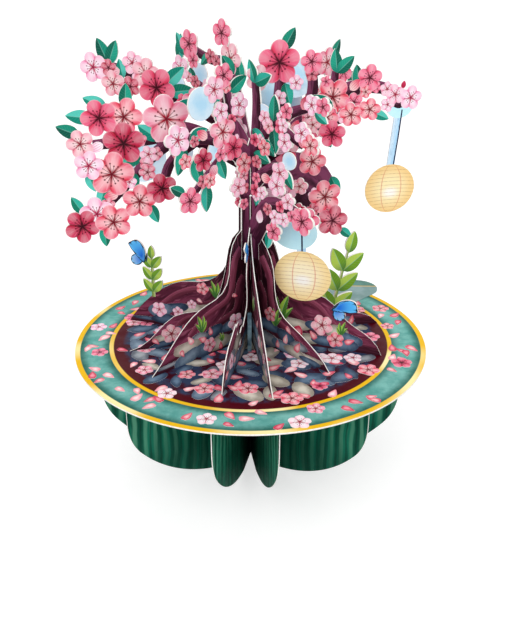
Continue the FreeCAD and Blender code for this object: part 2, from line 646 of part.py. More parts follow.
def make_tree_sheet(number, alias, mirrored, label):
    angle = 180 - DRAWN[alias] if mirrored else DRAWN[alias]
    low, high = [share * size("root_height") / 100 for share in BRIDGES[number]]
    bridge = blank(box_face(-slot_half, slot_half, low, high), -card / 2)
    far = half_blank(angle - 180).mirror(Vector(0, 0, 0), Vector(0, 1, 0))
    feature = doc.addObject("Part::Feature", "TreeSheet" + number)
    feature.Shape = joined(half_blank(angle), [far, bridge])
    finish_part(feature, label, TRAY_TOP, angle_expression(alias, mirrored))
    NODES.append(feature)


def joined(first, others):
    """One solid from prisms that overlap."""
    whole = first.multiFuse(others).removeSplitter()
    if len(whole.Solids) != 1:
        loose = min(whole.Solids, key=lambda solid: solid.Volume)
        raise ValueError("a piece is loose from its sheet: %s" % loose.BoundBox)
    return whole.Solids[0]


# Pendants: each place is (reach, rise, width, height), as shares of a lantern for the lantern

PENDANTS = {
    "centre_pendant": {
        "mirrored": False,
        "lantern": (30, 42, 1, 1),
        "sky": (25, 67, 25, 20),
        "strip": ((29, 50, 5), (29, 62, 5)),
        "blossoms": (),
    },
    "right_pendant": {
        "mirrored": True,
        "lantern": (80, 83, 0.92, 0.94),
        "sky": (82, 129, 16, 15),
        "strip": ((79, 92, 4.5), (82, 128, 4.5)),
        "blossoms": ((88, 132, 13, 10), (79, 134, 11, 30), (75, 129, 8, 0)),
    },
}


def oval(reach, rise, width, height):
    sides = 30
    turns = [2 * math.pi / sides * k for k in range(sides)]
    middle = (reach * REACH, rise * RISE)
    return flat_face([(middle[0] + width / 2 * math.cos(turn),
                       middle[1] + height / 2 * math.sin(turn)) for turn in turns])


def make_pendant(name, label, parts):
    """A lantern and its strip in one flat piece, glued to the front face of its sheet."""
    reach, rise, wide, high = parts["lantern"]
    faces = [oval(reach, rise, wide * size("lantern_width"), high * size("lantern_height")),
             oval(*parts["sky"]),
             bough(parts["strip"])]
    faces.extend(blossom(*where) for where in parts["blossoms"])
    prisms = [blank(face, -1.5 * card) for face in faces]
    feature = doc.addObject("Part::Feature", name)
    feature.Shape = joined(prisms[0], prisms[1:])
    finish_part(feature, label, TRAY_TOP, angle_expression("side_angle", parts["mirrored"]))
    NODES.append(feature)


make_tray()
for number, alias, mirrored in PLANES:
    make_bowl_sheet(number, alias, mirrored)
make_note_tab()
make_spine_strip()
for number, alias, mirrored in PLANES:
    kind = "root_sheet_" if alias == "near_angle" else "tree_sheet_"
    make_tree_sheet(number, alias, mirrored, kind + number)
make_pendant("CentrePendant", "centre_pendant", PENDANTS["centre_pendant"])
make_pendant("RightPendant", "right_pendant", PENDANTS["right_pendant"])
doc.recompute()

for item in doc.Objects:
    if "Invalid" in item.State or "Error" in item.State:
        raise ValueError("%s did not build" % item.Label)
for node in NODES:
    if node.Shape.isNull() or not node.Shape.isValid():
        raise ValueError("%s has no valid shape" % node.Label)
    node.Shape.exportStep("parts/%s.step" % node.Label)
print("built", len(NODES), "pieces")
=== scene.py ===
import math
import random

import bpy
from mathutils import Matrix, Vector


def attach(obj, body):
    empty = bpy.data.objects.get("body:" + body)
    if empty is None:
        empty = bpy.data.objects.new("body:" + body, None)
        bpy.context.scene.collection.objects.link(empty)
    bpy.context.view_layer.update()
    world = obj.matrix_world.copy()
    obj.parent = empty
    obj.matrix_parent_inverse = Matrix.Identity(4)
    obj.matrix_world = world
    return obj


# The printed side of the pop up card: blossoms, bark, stones and lanterns on its plain sheets.
# Lengths are millimetres in the lists and metres in Blender. A half sheet is named by its angle
# from the front, and a place on it is (reach from the axis, rise above the tray).

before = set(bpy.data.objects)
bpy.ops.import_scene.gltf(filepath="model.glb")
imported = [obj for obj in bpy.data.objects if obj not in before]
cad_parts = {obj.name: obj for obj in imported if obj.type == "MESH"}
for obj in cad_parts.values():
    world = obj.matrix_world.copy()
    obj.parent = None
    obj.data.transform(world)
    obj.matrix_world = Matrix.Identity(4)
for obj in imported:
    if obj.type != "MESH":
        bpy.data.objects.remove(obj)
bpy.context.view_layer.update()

MM = 0.001
TRAY_TOP = 79.9
HALF_CARD = 0.25
LAYER = 0.008
INK_THICK = 0.04
SLOT_HALF = 1.5
ROOT_TOP = 69
TRAY_RADIUS = 97.4
BAND_RADIUS = 81.0
CAMERA_TURN, CAMERA_RISE, CAMERA_DISTANCE = 1.5, 25.55, 0.4386
GOLDEN_ANGLE = 137.5


# Camera, light and floor

def towards(turn, rise):
    """Direction by degrees from the front towards the right, and degrees up."""
    around, up = math.radians(turn), math.radians(rise)
    return Vector((math.sin(around) * math.cos(up), -math.cos(around) * math.cos(up),
                   math.sin(up)))


def aim_camera():
    """The card is seen from a little right of the middle and from above."""
    bpy.ops.object.camera_add()
    camera = bpy.context.object
    camera.name = "camera"
    target = Vector((1.96, 0, TRAY_TOP + 10.98)) * MM
    back = towards(CAMERA_TURN, CAMERA_RISE)
    camera.location = target + back * CAMERA_DISTANCE
    camera.rotation_mode = "QUATERNION"
    camera.rotation_quaternion = (-back).to_track_quat("-Z", "Y")
    camera.data.sensor_width = 36
    camera.data.lens = 42.86
    camera.data.clip_start = 0.01
    bpy.context.scene.camera = camera


def place_sun(name, strength, turn, rise, soft):
    """A wide soft lamp; its light comes from this turn and rise."""
    bpy.ops.object.light_add(type="SUN")
    lamp = bpy.context.object
    lamp.name = name
    lamp.data.energy = strength
    lamp.data.angle = math.radians(soft)
    back = towards(turn, rise)
    lamp.rotation_mode = "QUATERNION"
    lamp.rotation_quaternion = back.to_track_quat("Z", "Y")
    lamp.location = back


def node(tree, kind, inputs=None, **settings):
    """Adds a node, sets it, and links or fills its inputs."""
    made = tree.nodes.new(kind)
    for key, value in settings.items():
        setattr(made, key, value)
    for key, value in (inputs or {}).items():
        if isinstance(value, bpy.types.NodeSocket):
            tree.links.new(value, made.inputs[key])
        else:
            made.inputs[key].default_value = value
    return made


def light_world():
    world = bpy.data.worlds.new("studio")
    bpy.context.scene.world = world
    world.use_nodes = True
    tree = world.node_tree
    tree.nodes.clear()
    path = node(tree, "ShaderNodeLightPath").outputs
    seen = node(tree, "ShaderNodeMath", {0: path["Is Camera Ray"], 1: path["Is Glossy Ray"]},
                operation="MAXIMUM").outputs[0]
    strength = node(tree, "ShaderNodeMapRange", {"Value": seen, "To Min": 0.62, "To Max": 1.0})
    sky = node(tree, "ShaderNodeBackground", {"Color": (1, 1, 1, 1),
                                              "Strength": strength.outputs[0]})
    node(tree, "ShaderNodeOutputWorld", {"Surface": sky.outputs[0]})


def lay_floor():
    """A wide white floor; it stays white for the camera and keeps a soft shadow."""
    bpy.ops.mesh.primitive_plane_add(size=40)
    floor = bpy.context.object
    floor.name = "floor"
    paint = bpy.data.materials.new("studio_floor")
    paint.use_nodes = True
    tree = paint.node_tree
    tree.nodes.clear()
    path = node(tree, "ShaderNodeLightPath").outputs
    matt = node(tree, "ShaderNodeBsdfDiffuse", {"Color": (0.5, 0.5, 0.5, 1)})
    glow = node(tree, "ShaderNodeEmission", {"Color": (1, 1, 1, 1), "Strength": 0.62})
    both = node(tree, "ShaderNodeAddShader", {0: matt.outputs[0], 1: glow.outputs[0]})
    plain = node(tree, "ShaderNodeBsdfDiffuse", {"Color": (0.8, 0.8, 0.8, 1)})
    seen = node(tree, "ShaderNodeMixShader", {0: path["Is Camera Ray"], 1: plain.outputs[0],
                                              2: both.outputs[0]})
    node(tree, "ShaderNodeOutputMaterial", {"Surface": seen.outputs[0]})
    floor.data.materials.append(paint)


bpy.context.scene.view_settings.view_transform = "Standard"
bpy.ops.object.select_all(action="DESELECT")
aim_camera()
for lamp in (("key_lamp", 1.15, -28, 48, 40), ("fill_lamp", 0.75, 40, 25, 60),
             ("back_lamp", 0.6, 170, 45, 60)):
    place_sun(*lamp)
light_world()
lay_floor()


# Colours and node helpers

def ink(red, green, blue):
    """A printed colour, from the 0 to 255 values it is seen as."""
    parts = [value / 255 for value in (red, green, blue)]
    return tuple(p / 12.92 if p < 0.04 else ((p + 0.055) / 1.055) ** 2.4 for p in parts) + (1,)


def maths(tree, operation, *values):
    return node(tree, "ShaderNodeMath", dict(enumerate(values)), operation=operation).outputs[0]


def times(tree, first, second):
    return maths(tree, "MULTIPLY", first, second)


def plus(tree, first, second):
    return maths(tree, "ADD", first, second)


def less(tree, first, second):
    return maths(tree, "SUBTRACT", first, second)


def positive(tree, value):
    return maths(tree, "ABSOLUTE", value)


def zigzag(tree, value):
    """Runs up to one half and back again, once for each 1 of the value."""
    return maths(tree, "PINGPONG", value, 0.5)


def vector_maths(tree, operation, *values):
    return node(tree, "ShaderNodeVectorMath", dict(enumerate(values)), operation=operation)


def stretched(tree, vector, by):
    return vector_maths(tree, "MULTIPLY", vector, by).outputs[0]


def length(tree, vector):
    return vector_maths(tree, "LENGTH", vector).outputs["Value"]


def split(tree, vector):
    return node(tree, "ShaderNodeSeparateXYZ", {0: vector}).outputs


def combine(tree, *values):
    return node(tree, "ShaderNodeCombineXYZ", dict(enumerate(values))).outputs[0]


def place_in(tree):
    """Object coordinates, which are metres in the row frame."""
    return node(tree, "ShaderNodeTexCoord").outputs["Object"]


def mix(tree, factor, first, second, how="MIX"):
    made = node(tree, "ShaderNodeMix", {0: factor, 6: first, 7: second}, data_type="RGBA",
                blend_type=how)
    return made.outputs[2]


def between(tree, value, low, high, first=0.0, last=1.0):
    """Runs smoothly from first to last while the value runs from low to high."""
    return node(tree, "ShaderNodeMapRange", {"Value": value, "From Min": low, "From Max": high,
                                             "To Min": first, "To Max": last},
                interpolation_type="SMOOTHSTEP").outputs[0]


def cloud(tree, scale, detail=3.0, rough=0.5, vector=None):
    """Noise on the given vector, by default on Object coordinates."""
    if vector is None:
        vector = place_in(tree)
    return node(tree, "ShaderNodeTexNoise", {"Vector": vector, "Scale": scale, "Detail": detail,
                                             "Roughness": rough}).outputs["Fac"]


def stamp_colour(tree, name):
    """A colour that a stamped plate carries: inner, outer or heart."""
    return node(tree, "ShaderNodeAttribute", attribute_name=name).outputs["Color"]


def fade_colours(tree, share):
    """From the inner to the outer colour of a stamped plate."""
    return mix(tree, share, stamp_colour(tree, "inner"), stamp_colour(tree, "outer"))


def rim_share(tree):
    """The rho of a plate: 0 in its middle and 1 at its rim."""
    return node(tree, "ShaderNodeAttribute", attribute_name="rho").outputs["Fac"]


def own_map(tree):
    return node(tree, "ShaderNodeUVMap", uv_map="UVMap").outputs[0]


def new_group(name, inputs, outputs):
    """A shader node group; returns its tree, its inside inputs and its inside outputs node."""
    tree = bpy.data.node_groups.new(name, "ShaderNodeTree")
    for label, kind in inputs:
        tree.interface.new_socket(name=label, in_out="INPUT", socket_type=kind)
    for label, kind in outputs:
        tree.interface.new_socket(name=label, in_out="OUTPUT", socket_type=kind)
    start = tree.nodes.new("NodeGroupInput")
    end = tree.nodes.new("NodeGroupOutput")
    return tree, start.outputs, end.inputs


def use_group(tree, group, inputs=None):
    return node(tree, "ShaderNodeGroup", inputs, node_tree=group).outputs


COLOUR, NUMBER = "NodeSocketColor", "NodeSocketFloat"


def paper_grain():
    """The tooth of coated card: a fine uneven height, and a slight change of sheen."""
    tree, _, out = new_group("paper_grain", [], [("Height", NUMBER), ("Sheen", NUMBER)])
    fine = cloud(tree, 2600, 2)
    wide = cloud(tree, 160, 2)
    tree.links.new(maths(tree, "MULTIPLY_ADD", fine, 0.7, wide), out["Height"])
    tree.links.new(between(tree, wide, 0.3, 0.7, 0.42, 0.56), out["Sheen"])
    return tree


GRAIN = paper_grain()


def card_finish(name, paint, gloss=0.12, lift=0.0006):
    """A printed card: paint(tree) gives the ink colour."""
    material = bpy.data.materials.new(name)
    material.use_nodes = True
    tree = material.node_tree
    tree.nodes.clear()
    grain = use_group(tree, GRAIN)
    bump = node(tree, "ShaderNodeBump", {"Strength": 0.12, "Distance": lift,
                                         "Height": grain["Height"]})
    shader = node(tree, "ShaderNodeBsdfPrincipled",
                  {"Base Color": paint(tree), "Roughness": grain["Sheen"],
                   "Normal": bump.outputs[0], "Specular IOR Level": gloss})
    node(tree, "ShaderNodeOutputMaterial", {"Surface": shader.outputs[0]})
    return material


def white_edge(tree):
    """The cut edge of the card: white core with faint fibres."""
    fibres = cloud(tree, 900, 2)
    return mix(tree, between(tree, fibres, 0.35, 0.7), ink(250, 248, 244), ink(232, 228, 222))


CUT_EDGE = card_finish("cut_card_edge", white_edge, gloss=0.2)


# Outlines

def blossom_outline(count):
    """Five round petals that meet in notches."""
    seat, round_off = 0.58, 0.42
    points = []
    for step in range(count):
        turn = 360 * step / count
        lean = math.radians((turn + 36) % 72 - 36)
        out = seat * math.cos(lean) + math.sqrt(round_off ** 2 - (seat * math.sin(lean)) ** 2)
        points.append((out * math.cos(math.radians(turn)), out * math.sin(math.radians(turn))))
    return points


def rounded(points, count):
    """A closed smooth outline through the points, read at count places."""
    found = []
    total = len(points)
    for step in range(count):
        place = step / count * total
        at = int(place)
        share = place - at
        around = [Vector(points[(at + k) % total]) for k in (-1, 0, 1, 2)]
        found.append(tuple(smooth(around, share)))
    return found


def smooth(around, share):
    """A point between the middle two of four, on a curve that passes through them."""
    before, first, second, after = around
    return 0.5 * (2 * first + (second - before) * share
                  + (2 * before - 5 * first + 4 * second - after) * share ** 2
                  + (3 * first - before - 3 * second + after) * share ** 3)


# Plates: thin closed pieces of print, modelled once and copied

def finish_plate(plate, name, face, edge):
    """Gives a flat shape its card thickness; the rim becomes the white cut edge."""
    plate.name = name
    plate.data.materials.append(face)
    plate.data.materials.append(edge)
    bpy.ops.object.mode_set(mode="EDIT")
    bpy.ops.mesh.select_all(action="SELECT")
    bpy.ops.mesh.remove_doubles(threshold=1e-5)
    bpy.ops.mesh.normals_make_consistent(inside=False)
    bpy.ops.object.mode_set(mode="OBJECT")
    thicken = plate.modifiers.new("card", "SOLIDIFY")
    thicken.thickness = 1
    thicken.offset = 0
    thicken.material_offset_rim = 1
    bpy.ops.object.modifier_apply(modifier="card")
    bpy.ops.object.select_all(action="DESELECT")
    return plate


def cut_shape(name, points, face, edge=CUT_EDGE):
    """A plate with this outline; its rho runs from 0 in the middle to 1 at the rim."""
    bpy.ops.object.select_all(action="DESELECT")
    bpy.ops.mesh.primitive_circle_add(vertices=len(points), radius=1, fill_type="TRIFAN")
    plate = bpy.context.object
    mesh = plate.data
    places = [Vector((x, y, 0)) for x, y in points]
    middle = sum(places, Vector()) / len(places)
    rho = mesh.attributes.new("rho", "FLOAT", "POINT")
    for vertex in mesh.vertices:
        if vertex.co.length > 0.5:
            turn = math.atan2(vertex.co.y, vertex.co.x) / (2 * math.pi)
            vertex.co = places[round(turn * len(places)) % len(places)]
            rho.data[vertex.index].value = 1
        else:
            vertex.co = middle
            rho.data[vertex.index].value = 0
    for loop in mesh.loops:
        spot = mesh.vertices[loop.vertex_index].co
        mesh.uv_layers[0].data[loop.index].uv = (0.5 + spot.x / 2, 0.5 + spot.y / 2)
    return finish_plate(plate, name, face, edge)


def leaf_plate(name, face, swell, bend):
    """A pointed oval one unit long; its own map runs along and across it."""
    bpy.ops.object.select_all(action="DESELECT")
    bpy.ops.mesh.primitive_grid_add(x_subdivisions=10, y_subdivisions=2, size=2)
    plate = bpy.context.object
    for vertex in plate.data.vertices:
        along = (vertex.co.x + 1) / 2
        half = swell * abs(math.sin(math.pi * along ** 0.8)) ** 0.75
        sag = bend * math.sin(math.pi * along)
        vertex.co = (along, vertex.co.y * half + sag, 0)
    rho = plate.data.attributes.new("rho", "FLOAT", "POINT")
    for vertex in plate.data.vertices:
        rho.data[vertex.index].value = vertex.co.x
    return finish_plate(plate, name, face, CUT_EDGE)


def bark_strip(name, path, face):
    """A tapering strip of bark along (reach, rise, width) points, in millimetres."""
    bpy.ops.object.select_all(action="DESELECT")
    steps = 6 * (len(path) - 1)
    bpy.ops.mesh.primitive_grid_add(x_subdivisions=steps, y_subdivisions=2, size=2)
    plate = bpy.context.object
    stops = [Vector(point) for point in path]
    stops = [2 * stops[0] - stops[1]] + stops + [2 * stops[-1] - stops[-2]]
    rho = plate.data.attributes.new("rho", "FLOAT", "POINT")
    for vertex in plate.data.vertices:
        along = (vertex.co.x + 1) / 2 * (len(path) - 1)
        at = min(int(along + 1e-6), len(path) - 2)
        here = smooth(stops[at:at + 4], along - at)
        ahead = smooth(stops[at:at + 4], along - at + 0.02)
        run = (ahead - here).to_2d().normalized()
        side = vertex.co.y * here.z / 2
        rho.data[vertex.index].value = along / (len(path) - 1)
        vertex.co = (here.x - run.y * side, here.y + run.x * side, 0)
    return finish_plate(plate, name, face, CUT_EDGE)


def half_plane(angle):
    """Turns (reach, rise, out of the sheet), in millimetres, into the row frame."""
    turn = math.radians(angle)
    outward = Vector((math.sin(turn), -math.cos(turn), 0)) * MM
    up = Vector((0, 0, MM))
    normal = Vector((-math.cos(turn), -math.sin(turn), 0)) * MM
    place = Matrix((outward, up, normal)).transposed().to_4x4()
    place.translation = (0, 0, TRAY_TOP * MM)
    return place


TRAY_PLANE = Matrix.Translation((0, 0, TRAY_TOP * MM)) @ Matrix.Scale(MM, 4)


def stamp(master, base, spot, scale, turn, thick, colours, offset=0.0):
    """Copies a plate to its place; thick is the whole thickness of the copy."""
    copy = master.copy()
    copy.data = master.data.copy()
    bpy.context.scene.collection.objects.link(copy)
    wide, high = scale if isinstance(scale, tuple) else (scale, scale)
    place = (base @ Matrix.Translation((spot[0], spot[1], offset))
             @ Matrix.Rotation(math.radians(turn), 4, "Z")
             @ Matrix.Diagonal((wide, high, thick, 1)))
    copy.data.transform(place)
    for name, colour in zip(("inner", "outer", "heart"), colours):
        layer = copy.data.attributes.new(name, "FLOAT_COLOR", "POINT")
        layer.data.foreach_set("color", list(colour) * len(copy.data.vertices))
    return copy


def join_print(name, plates):
    """Joins the plates of one print into one piece that rides with the card."""
    bpy.ops.object.select_all(action="DESELECT")
    for plate in plates:
        plate.select_set(True)
    bpy.context.view_layer.objects.active = plates[0]
    if len(plates) > 1:
        bpy.ops.object.join()
    piece = plates[0]
    piece.name = name
    bpy.ops.object.select_all(action="DESELECT")
    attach(piece, "root")
    return piece


# Inks of the printed pictures

def uv_spot(tree):
    """Own map of a plate, as a vector from its middle in units of its radius."""
    own = own_map(tree)
    return vector_maths(tree, "MULTIPLY_ADD", own, (2, 2, 0), (-1, -1, 0)).outputs[0]


def blossom_group():
    """Five shaded petals, a dark heart and thin stamens with dots at their tips."""
    tree, given, out = new_group("blossom_print",
                                 [("Inner", COLOUR), ("Outer", COLOUR), ("Heart", COLOUR)],
                                 [("Colour", COLOUR)])
    spot = uv_spot(tree)
    parts = split(tree, spot)
    distance = length(tree, spot)
    turn = maths(tree, "DIVIDE", maths(tree, "ARCTAN2", parts[1], parts[0]), 2 * math.pi)
    rho = rim_share(tree)
    petal = less(tree, maths(tree, "FRACT", maths(tree, "MULTIPLY_ADD", turn, 5.0, 5.5)), 0.5)
    fade = between(tree, rho, 0.2, 0.95)
    colour = mix(tree, fade, given["Inner"], given["Outer"])
    pale = mix(tree, 0.5, given["Inner"], (1, 0.86, 0.9, 1))
    outwards = combine(tree, times(tree, turn, 70.0), times(tree, distance, 2.2))
    streak = cloud(tree, 1.0, 2, vector=outwards)
    colour = mix(tree, between(tree, streak, 0.45, 0.75, 0, 0.3), colour, pale)
    side = between(tree, petal, 0.15, 0.5, 0, 0.8)
    colour = mix(tree, times(tree, side, between(tree, rho, 0.1, 0.5)), colour, given["Heart"],
                 "SOFT_LIGHT")
    middle = times(tree, between(tree, positive(tree, petal), 0, 0.34, 1, 0),
                   between(tree, rho, 0.3, 0.7, 0, 0.4))
    colour = mix(tree, middle, colour, pale)
    notch = between(tree, positive(tree, petal), 0.36, 0.5, 0, 0.5)
    colour = mix(tree, notch, colour, given["Heart"])
    rim = between(tree, rho, 0.9, 1.0, 0, 0.3)
    colour = mix(tree, rim, colour, pale)
    points = times(tree, maths(tree, "COSINE", times(tree, turn, 10 * math.pi)), 0.1)
    flush = between(tree, plus(tree, distance, points), 0.04, 0.38, 1, 0)
    colour = mix(tree, flush, colour, given["Heart"])
    rays = maths(tree, "MULTIPLY_ADD", turn, 15.0, 30.2)
    ray = less(tree, maths(tree, "FRACT", rays), 0.5)
    reach = node(tree, "ShaderNodeTexWhiteNoise", {"W": maths(tree, "FLOOR", rays)},
                 noise_dimensions="1D").outputs["Value"]
    reach = maths(tree, "MULTIPLY_ADD", reach, 0.22, 0.34)
    beside = times(tree, times(tree, ray, 2 * math.pi / 15), distance)
    thin = between(tree, positive(tree, beside), 0.004, 0.018, 1, 0)
    short = maths(tree, "LESS_THAN", distance, reach)
    beyond = less(tree, distance, reach)
    tip = maths(tree, "SQRT", plus(tree, times(tree, beyond, beyond), times(tree, beside, beside)))
    dot = between(tree, tip, 0.028, 0.05, 1, 0)
    lines = maths(tree, "MAXIMUM", times(tree, thin, short), dot)
    dark = mix(tree, 0.75, given["Heart"], ink(54, 4, 20))
    colour = mix(tree, times(tree, lines, 0.9), colour, dark)
    tree.links.new(colour, out["Colour"])
    return tree


def mottled_group():
    """A field of colour that runs from the middle to the rim, with cloudy paint."""
    tree, given, out = new_group("mottled_print", [("Inner", COLOUR), ("Outer", COLOUR),
                                                   ("Scale", NUMBER), ("Cloud", NUMBER)],
                                 [("Colour", COLOUR)])
    rho = rim_share(tree)
    paint = cloud(tree, given["Scale"], 4, 0.6)
    shift = times(tree, less(tree, paint, 0.5), given["Cloud"])
    fade = between(tree, plus(tree, rho, shift), 0.1, 1.0)
    tree.links.new(mix(tree, fade, given["Inner"], given["Outer"]), out["Colour"])
    return tree


BLOSSOM_PRINT = blossom_group()
MOTTLED_PRINT = mottled_group()


def blossom_ink(tree):
    colours = {name.title(): stamp_colour(tree, name) for name in ("inner", "outer", "heart")}
    return use_group(tree, BLOSSOM_PRINT, colours)["Colour"]


def mottled_ink(tree):
    return use_group(tree, MOTTLED_PRINT, {"Inner": stamp_colour(tree, "inner"),
                                           "Outer": stamp_colour(tree, "outer"), "Scale": 260.0,
                                           "Cloud": 1.1})["Colour"]


def leaf_ink(tree):
    """Dark and light halves either side of a pale midrib, with slanting veins."""
    parts = split(tree, own_map(tree))
    across = less(tree, parts[1], 0.5)
    half = between(tree, across, -0.04, 0.04)
    colour = fade_colours(tree, half)
    slant = less(tree, times(tree, parts[0], 9.0), times(tree, positive(tree, across), 3.0))
    vein = between(tree, zigzag(tree, slant), 0.0, 0.12, 0.12, 0)
    rib = between(tree, positive(tree, across), 0.01, 0.05, 0.4, 0)
    colour = mix(tree, maths(tree, "MAXIMUM", vein, rib), colour, ink(150, 214, 200))
    foot = between(tree, parts[0], 0.0, 0.45, 0.5, 0)
    return mix(tree, foot, colour, ink(4, 78, 66))


def bud_ink(tree):
    """A closed bud: petals folded along it, with dark lines between them."""
    parts = split(tree, own_map(tree))
    colour = fade_colours(tree, between(tree, parts[0], 0.1, 0.9))
    fold = zigzag(tree, times(tree, parts[1], 4.5))
    return mix(tree, between(tree, fold, 0.0, 0.14, 0.75, 0), colour, stamp_colour(tree, "heart"))


def wing_ink(tree):
    """Blue wings: fine veins from the body, and a dark rim with pale marks."""
    spot = uv_spot(tree)
    parts = split(tree, spot)
    turn = maths(tree, "ARCTAN2", parts[1], parts[0])
    rho = rim_share(tree)
    out = length(tree, spot)
    colour = fade_colours(tree, between(tree, out, 0.08, 0.55))
    colour = mix(tree, between(tree, rho, 0.55, 0.8, 0, 0.5), colour, ink(110, 200, 255))
    vein = zigzag(tree, times(tree, turn, 3.4))
    veins = times(tree, between(tree, vein, 0.0, 0.08, 1, 0), between(tree, rho, 0.5, 0.75))
    comb = times(tree, between(tree, vein, 0.1, 0.3, 1, 0), between(tree, rho, 0.78, 0.86))
    rim = between(tree, rho, 0.9, 0.94)
    marks = maths(tree, "MAXIMUM", maths(tree, "MAXIMUM", veins, comb), rim)
    return mix(tree, marks, colour, ink(16, 22, 50))


def lantern_ink(tree):
    """Paper lantern: thin ribs across, two red meridians, and a light inside."""
    spot = uv_spot(tree)
    parts = split(tree, spot)
    rho = rim_share(tree)
    colour = fade_colours(tree, between(tree, rho, 0.3, 1.0))
    lamp = vector_maths(tree, "ADD", spot, (-0.02, 0.16, 0)).outputs[0]
    glow = length(tree, stretched(tree, lamp, (1.0, 1.4, 0)))
    colour = mix(tree, between(tree, glow, 0.08, 0.46, 1, 0), colour, ink(255, 252, 244))
    bow = times(tree, times(tree, parts[0], parts[0]), 0.06)
    rib = zigzag(tree, times(tree, plus(tree, parts[1], bow), 6.5))
    broken = between(tree, cloud(tree, 700, 2), 0.35, 0.55, 0.35, 0.8)
    colour = mix(tree, times(tree, between(tree, rib, 0.0, 0.09, 1, 0), broken),
                 colour, ink(176, 130, 86))
    rest = less(tree, 1.0, times(tree, parts[1], parts[1]))
    narrow = maths(tree, "SQRT", maths(tree, "MAXIMUM", rest, 0.01))
    side = positive(tree, less(tree, maths(tree, "DIVIDE", parts[0], narrow), 0.05))
    seam = between(tree, positive(tree, less(tree, side, 0.4)), 0.0, 0.03, 0.7, 0)
    return mix(tree, seam, colour, ink(216, 112, 92))


def bark_ink(tree):
    """Bark of the boughs: streaks along the wood between a dark and a lit side."""
    own = own_map(tree)
    parts = split(tree, own)
    streak = cloud(tree, 1.0, 3, vector=stretched(tree, own, (5, 9, 1)))
    lit = plus(tree, parts[1], times(tree, less(tree, streak, 0.5), 1.6))
    colour = fade_colours(tree, between(tree, lit, 0.2, 1.0))
    fine = cloud(tree, 1.0, 2, vector=stretched(tree, own, (8, 26, 1)))
    return mix(tree, between(tree, fine, 0.58, 0.7, 0, 0.6), colour, ink(38, 10, 20))


BLOSSOM_FACE = card_finish("blossom_print_face", blossom_ink)
MOTTLED_FACE = card_finish("painted_face", mottled_ink)
LEAF_FACE = card_finish("leaf_print_face", leaf_ink)
BARK_FACE = card_finish("bark_print_face", bark_ink)
BUD_FACE = card_finish("bud_print_face", bud_ink)
WING_FACE = card_finish("wing_print_face", wing_ink)
LANTERN_FACE = card_finish("lantern_print_face", lantern_ink)


# Ink of the card sheets themselves

def spread_out(tree):
    """Distance from the axis and height over the tray of a point, in millimetres."""
    place = place_in(tree)
    parts = split(tree, place)
    flat = stretched(tree, place, (1000, 1000, 0))
    reach = length(tree, flat)
    rise = maths(tree, "MULTIPLY_ADD", parts[2], 1000.0, -TRAY_TOP)
    return reach, rise, flat


def edge_group():
    """1 on the faces of an upright sheet and 0 on its cut edges."""
    tree, _, out = new_group("cut_edge_mask", [], [("Face", NUMBER)])
    _, _, flat = spread_out(tree)
    outward = vector_maths(tree, "NORMALIZE", flat).outputs[0]
    across = vector_maths(tree, "CROSS_PRODUCT", outward, (0, 0, 1)).outputs[0]
    normal = node(tree, "ShaderNodeNewGeometry").outputs["True Normal"]
    facing = vector_maths(tree, "DOT_PRODUCT", normal, across).outputs["Value"]
    tree.links.new(maths(tree, "GREATER_THAN", positive(tree, facing), 0.7), out["Face"])
    return tree


EDGE_MASK = edge_group()


def keep_edges(tree, colour):
    """The colour on the faces of a sheet, and white card on its cut edges."""
    return mix(tree, use_group(tree, EDGE_MASK)["Face"], white_edge(tree), colour)


def root_ink(tree):
    """Roots: streaks of plum and wine that flow down and out from the trunk, with painted shade
    near the trunk axis and towards the tray.
    """
    reach, rise, flat = spread_out(tree)
    bend = times(tree, plus(tree, reach, 3.0), plus(tree, rise, 4.0))
    flow = maths(tree, "LOGARITHM", maths(tree, "MAXIMUM", bend, 1.0), math.e)
    along = less(tree, reach, rise)
    bent = cloud(tree, 60, 2)
    line = combine(tree, maths(tree, "MULTIPLY_ADD", bent, 2.5, times(tree, flow, 5.0)),
                   times(tree, along, 0.03), split(tree, flat)[0])
    line = stretched(tree, line, (1, 1, 0.02))
    broad = cloud(tree, 0.8, 2, vector=line)
    fine = cloud(tree, 3.0, 2, vector=line)
    # Both streak colours darken towards the trunk axis: painted shade where the sheets crowd
    # around the trunk.
    wood = mix(tree, between(tree, reach, 8, 46), ink(50, 16, 26), ink(132, 58, 86))
    core = mix(tree, between(tree, reach, 8, 46), ink(22, 4, 10), ink(84, 28, 50))
    colour = mix(tree, between(tree, broad, 0.38, 0.62), core, wood)
    colour = mix(tree, between(tree, fine, 0.56, 0.74, 0, 0.55), colour, ink(176, 98, 124))
    colour = mix(tree, between(tree, fine, 0.3, 0.42, 0.6, 0), colour, ink(26, 4, 14))
    # Darker towards the tray: painted shade at the foot of the sheet.
    low = between(tree, rise, 0, 10, 0.8, 0)
    colour = mix(tree, low, colour, ink(40, 14, 24))
    return keep_edges(tree, colour)


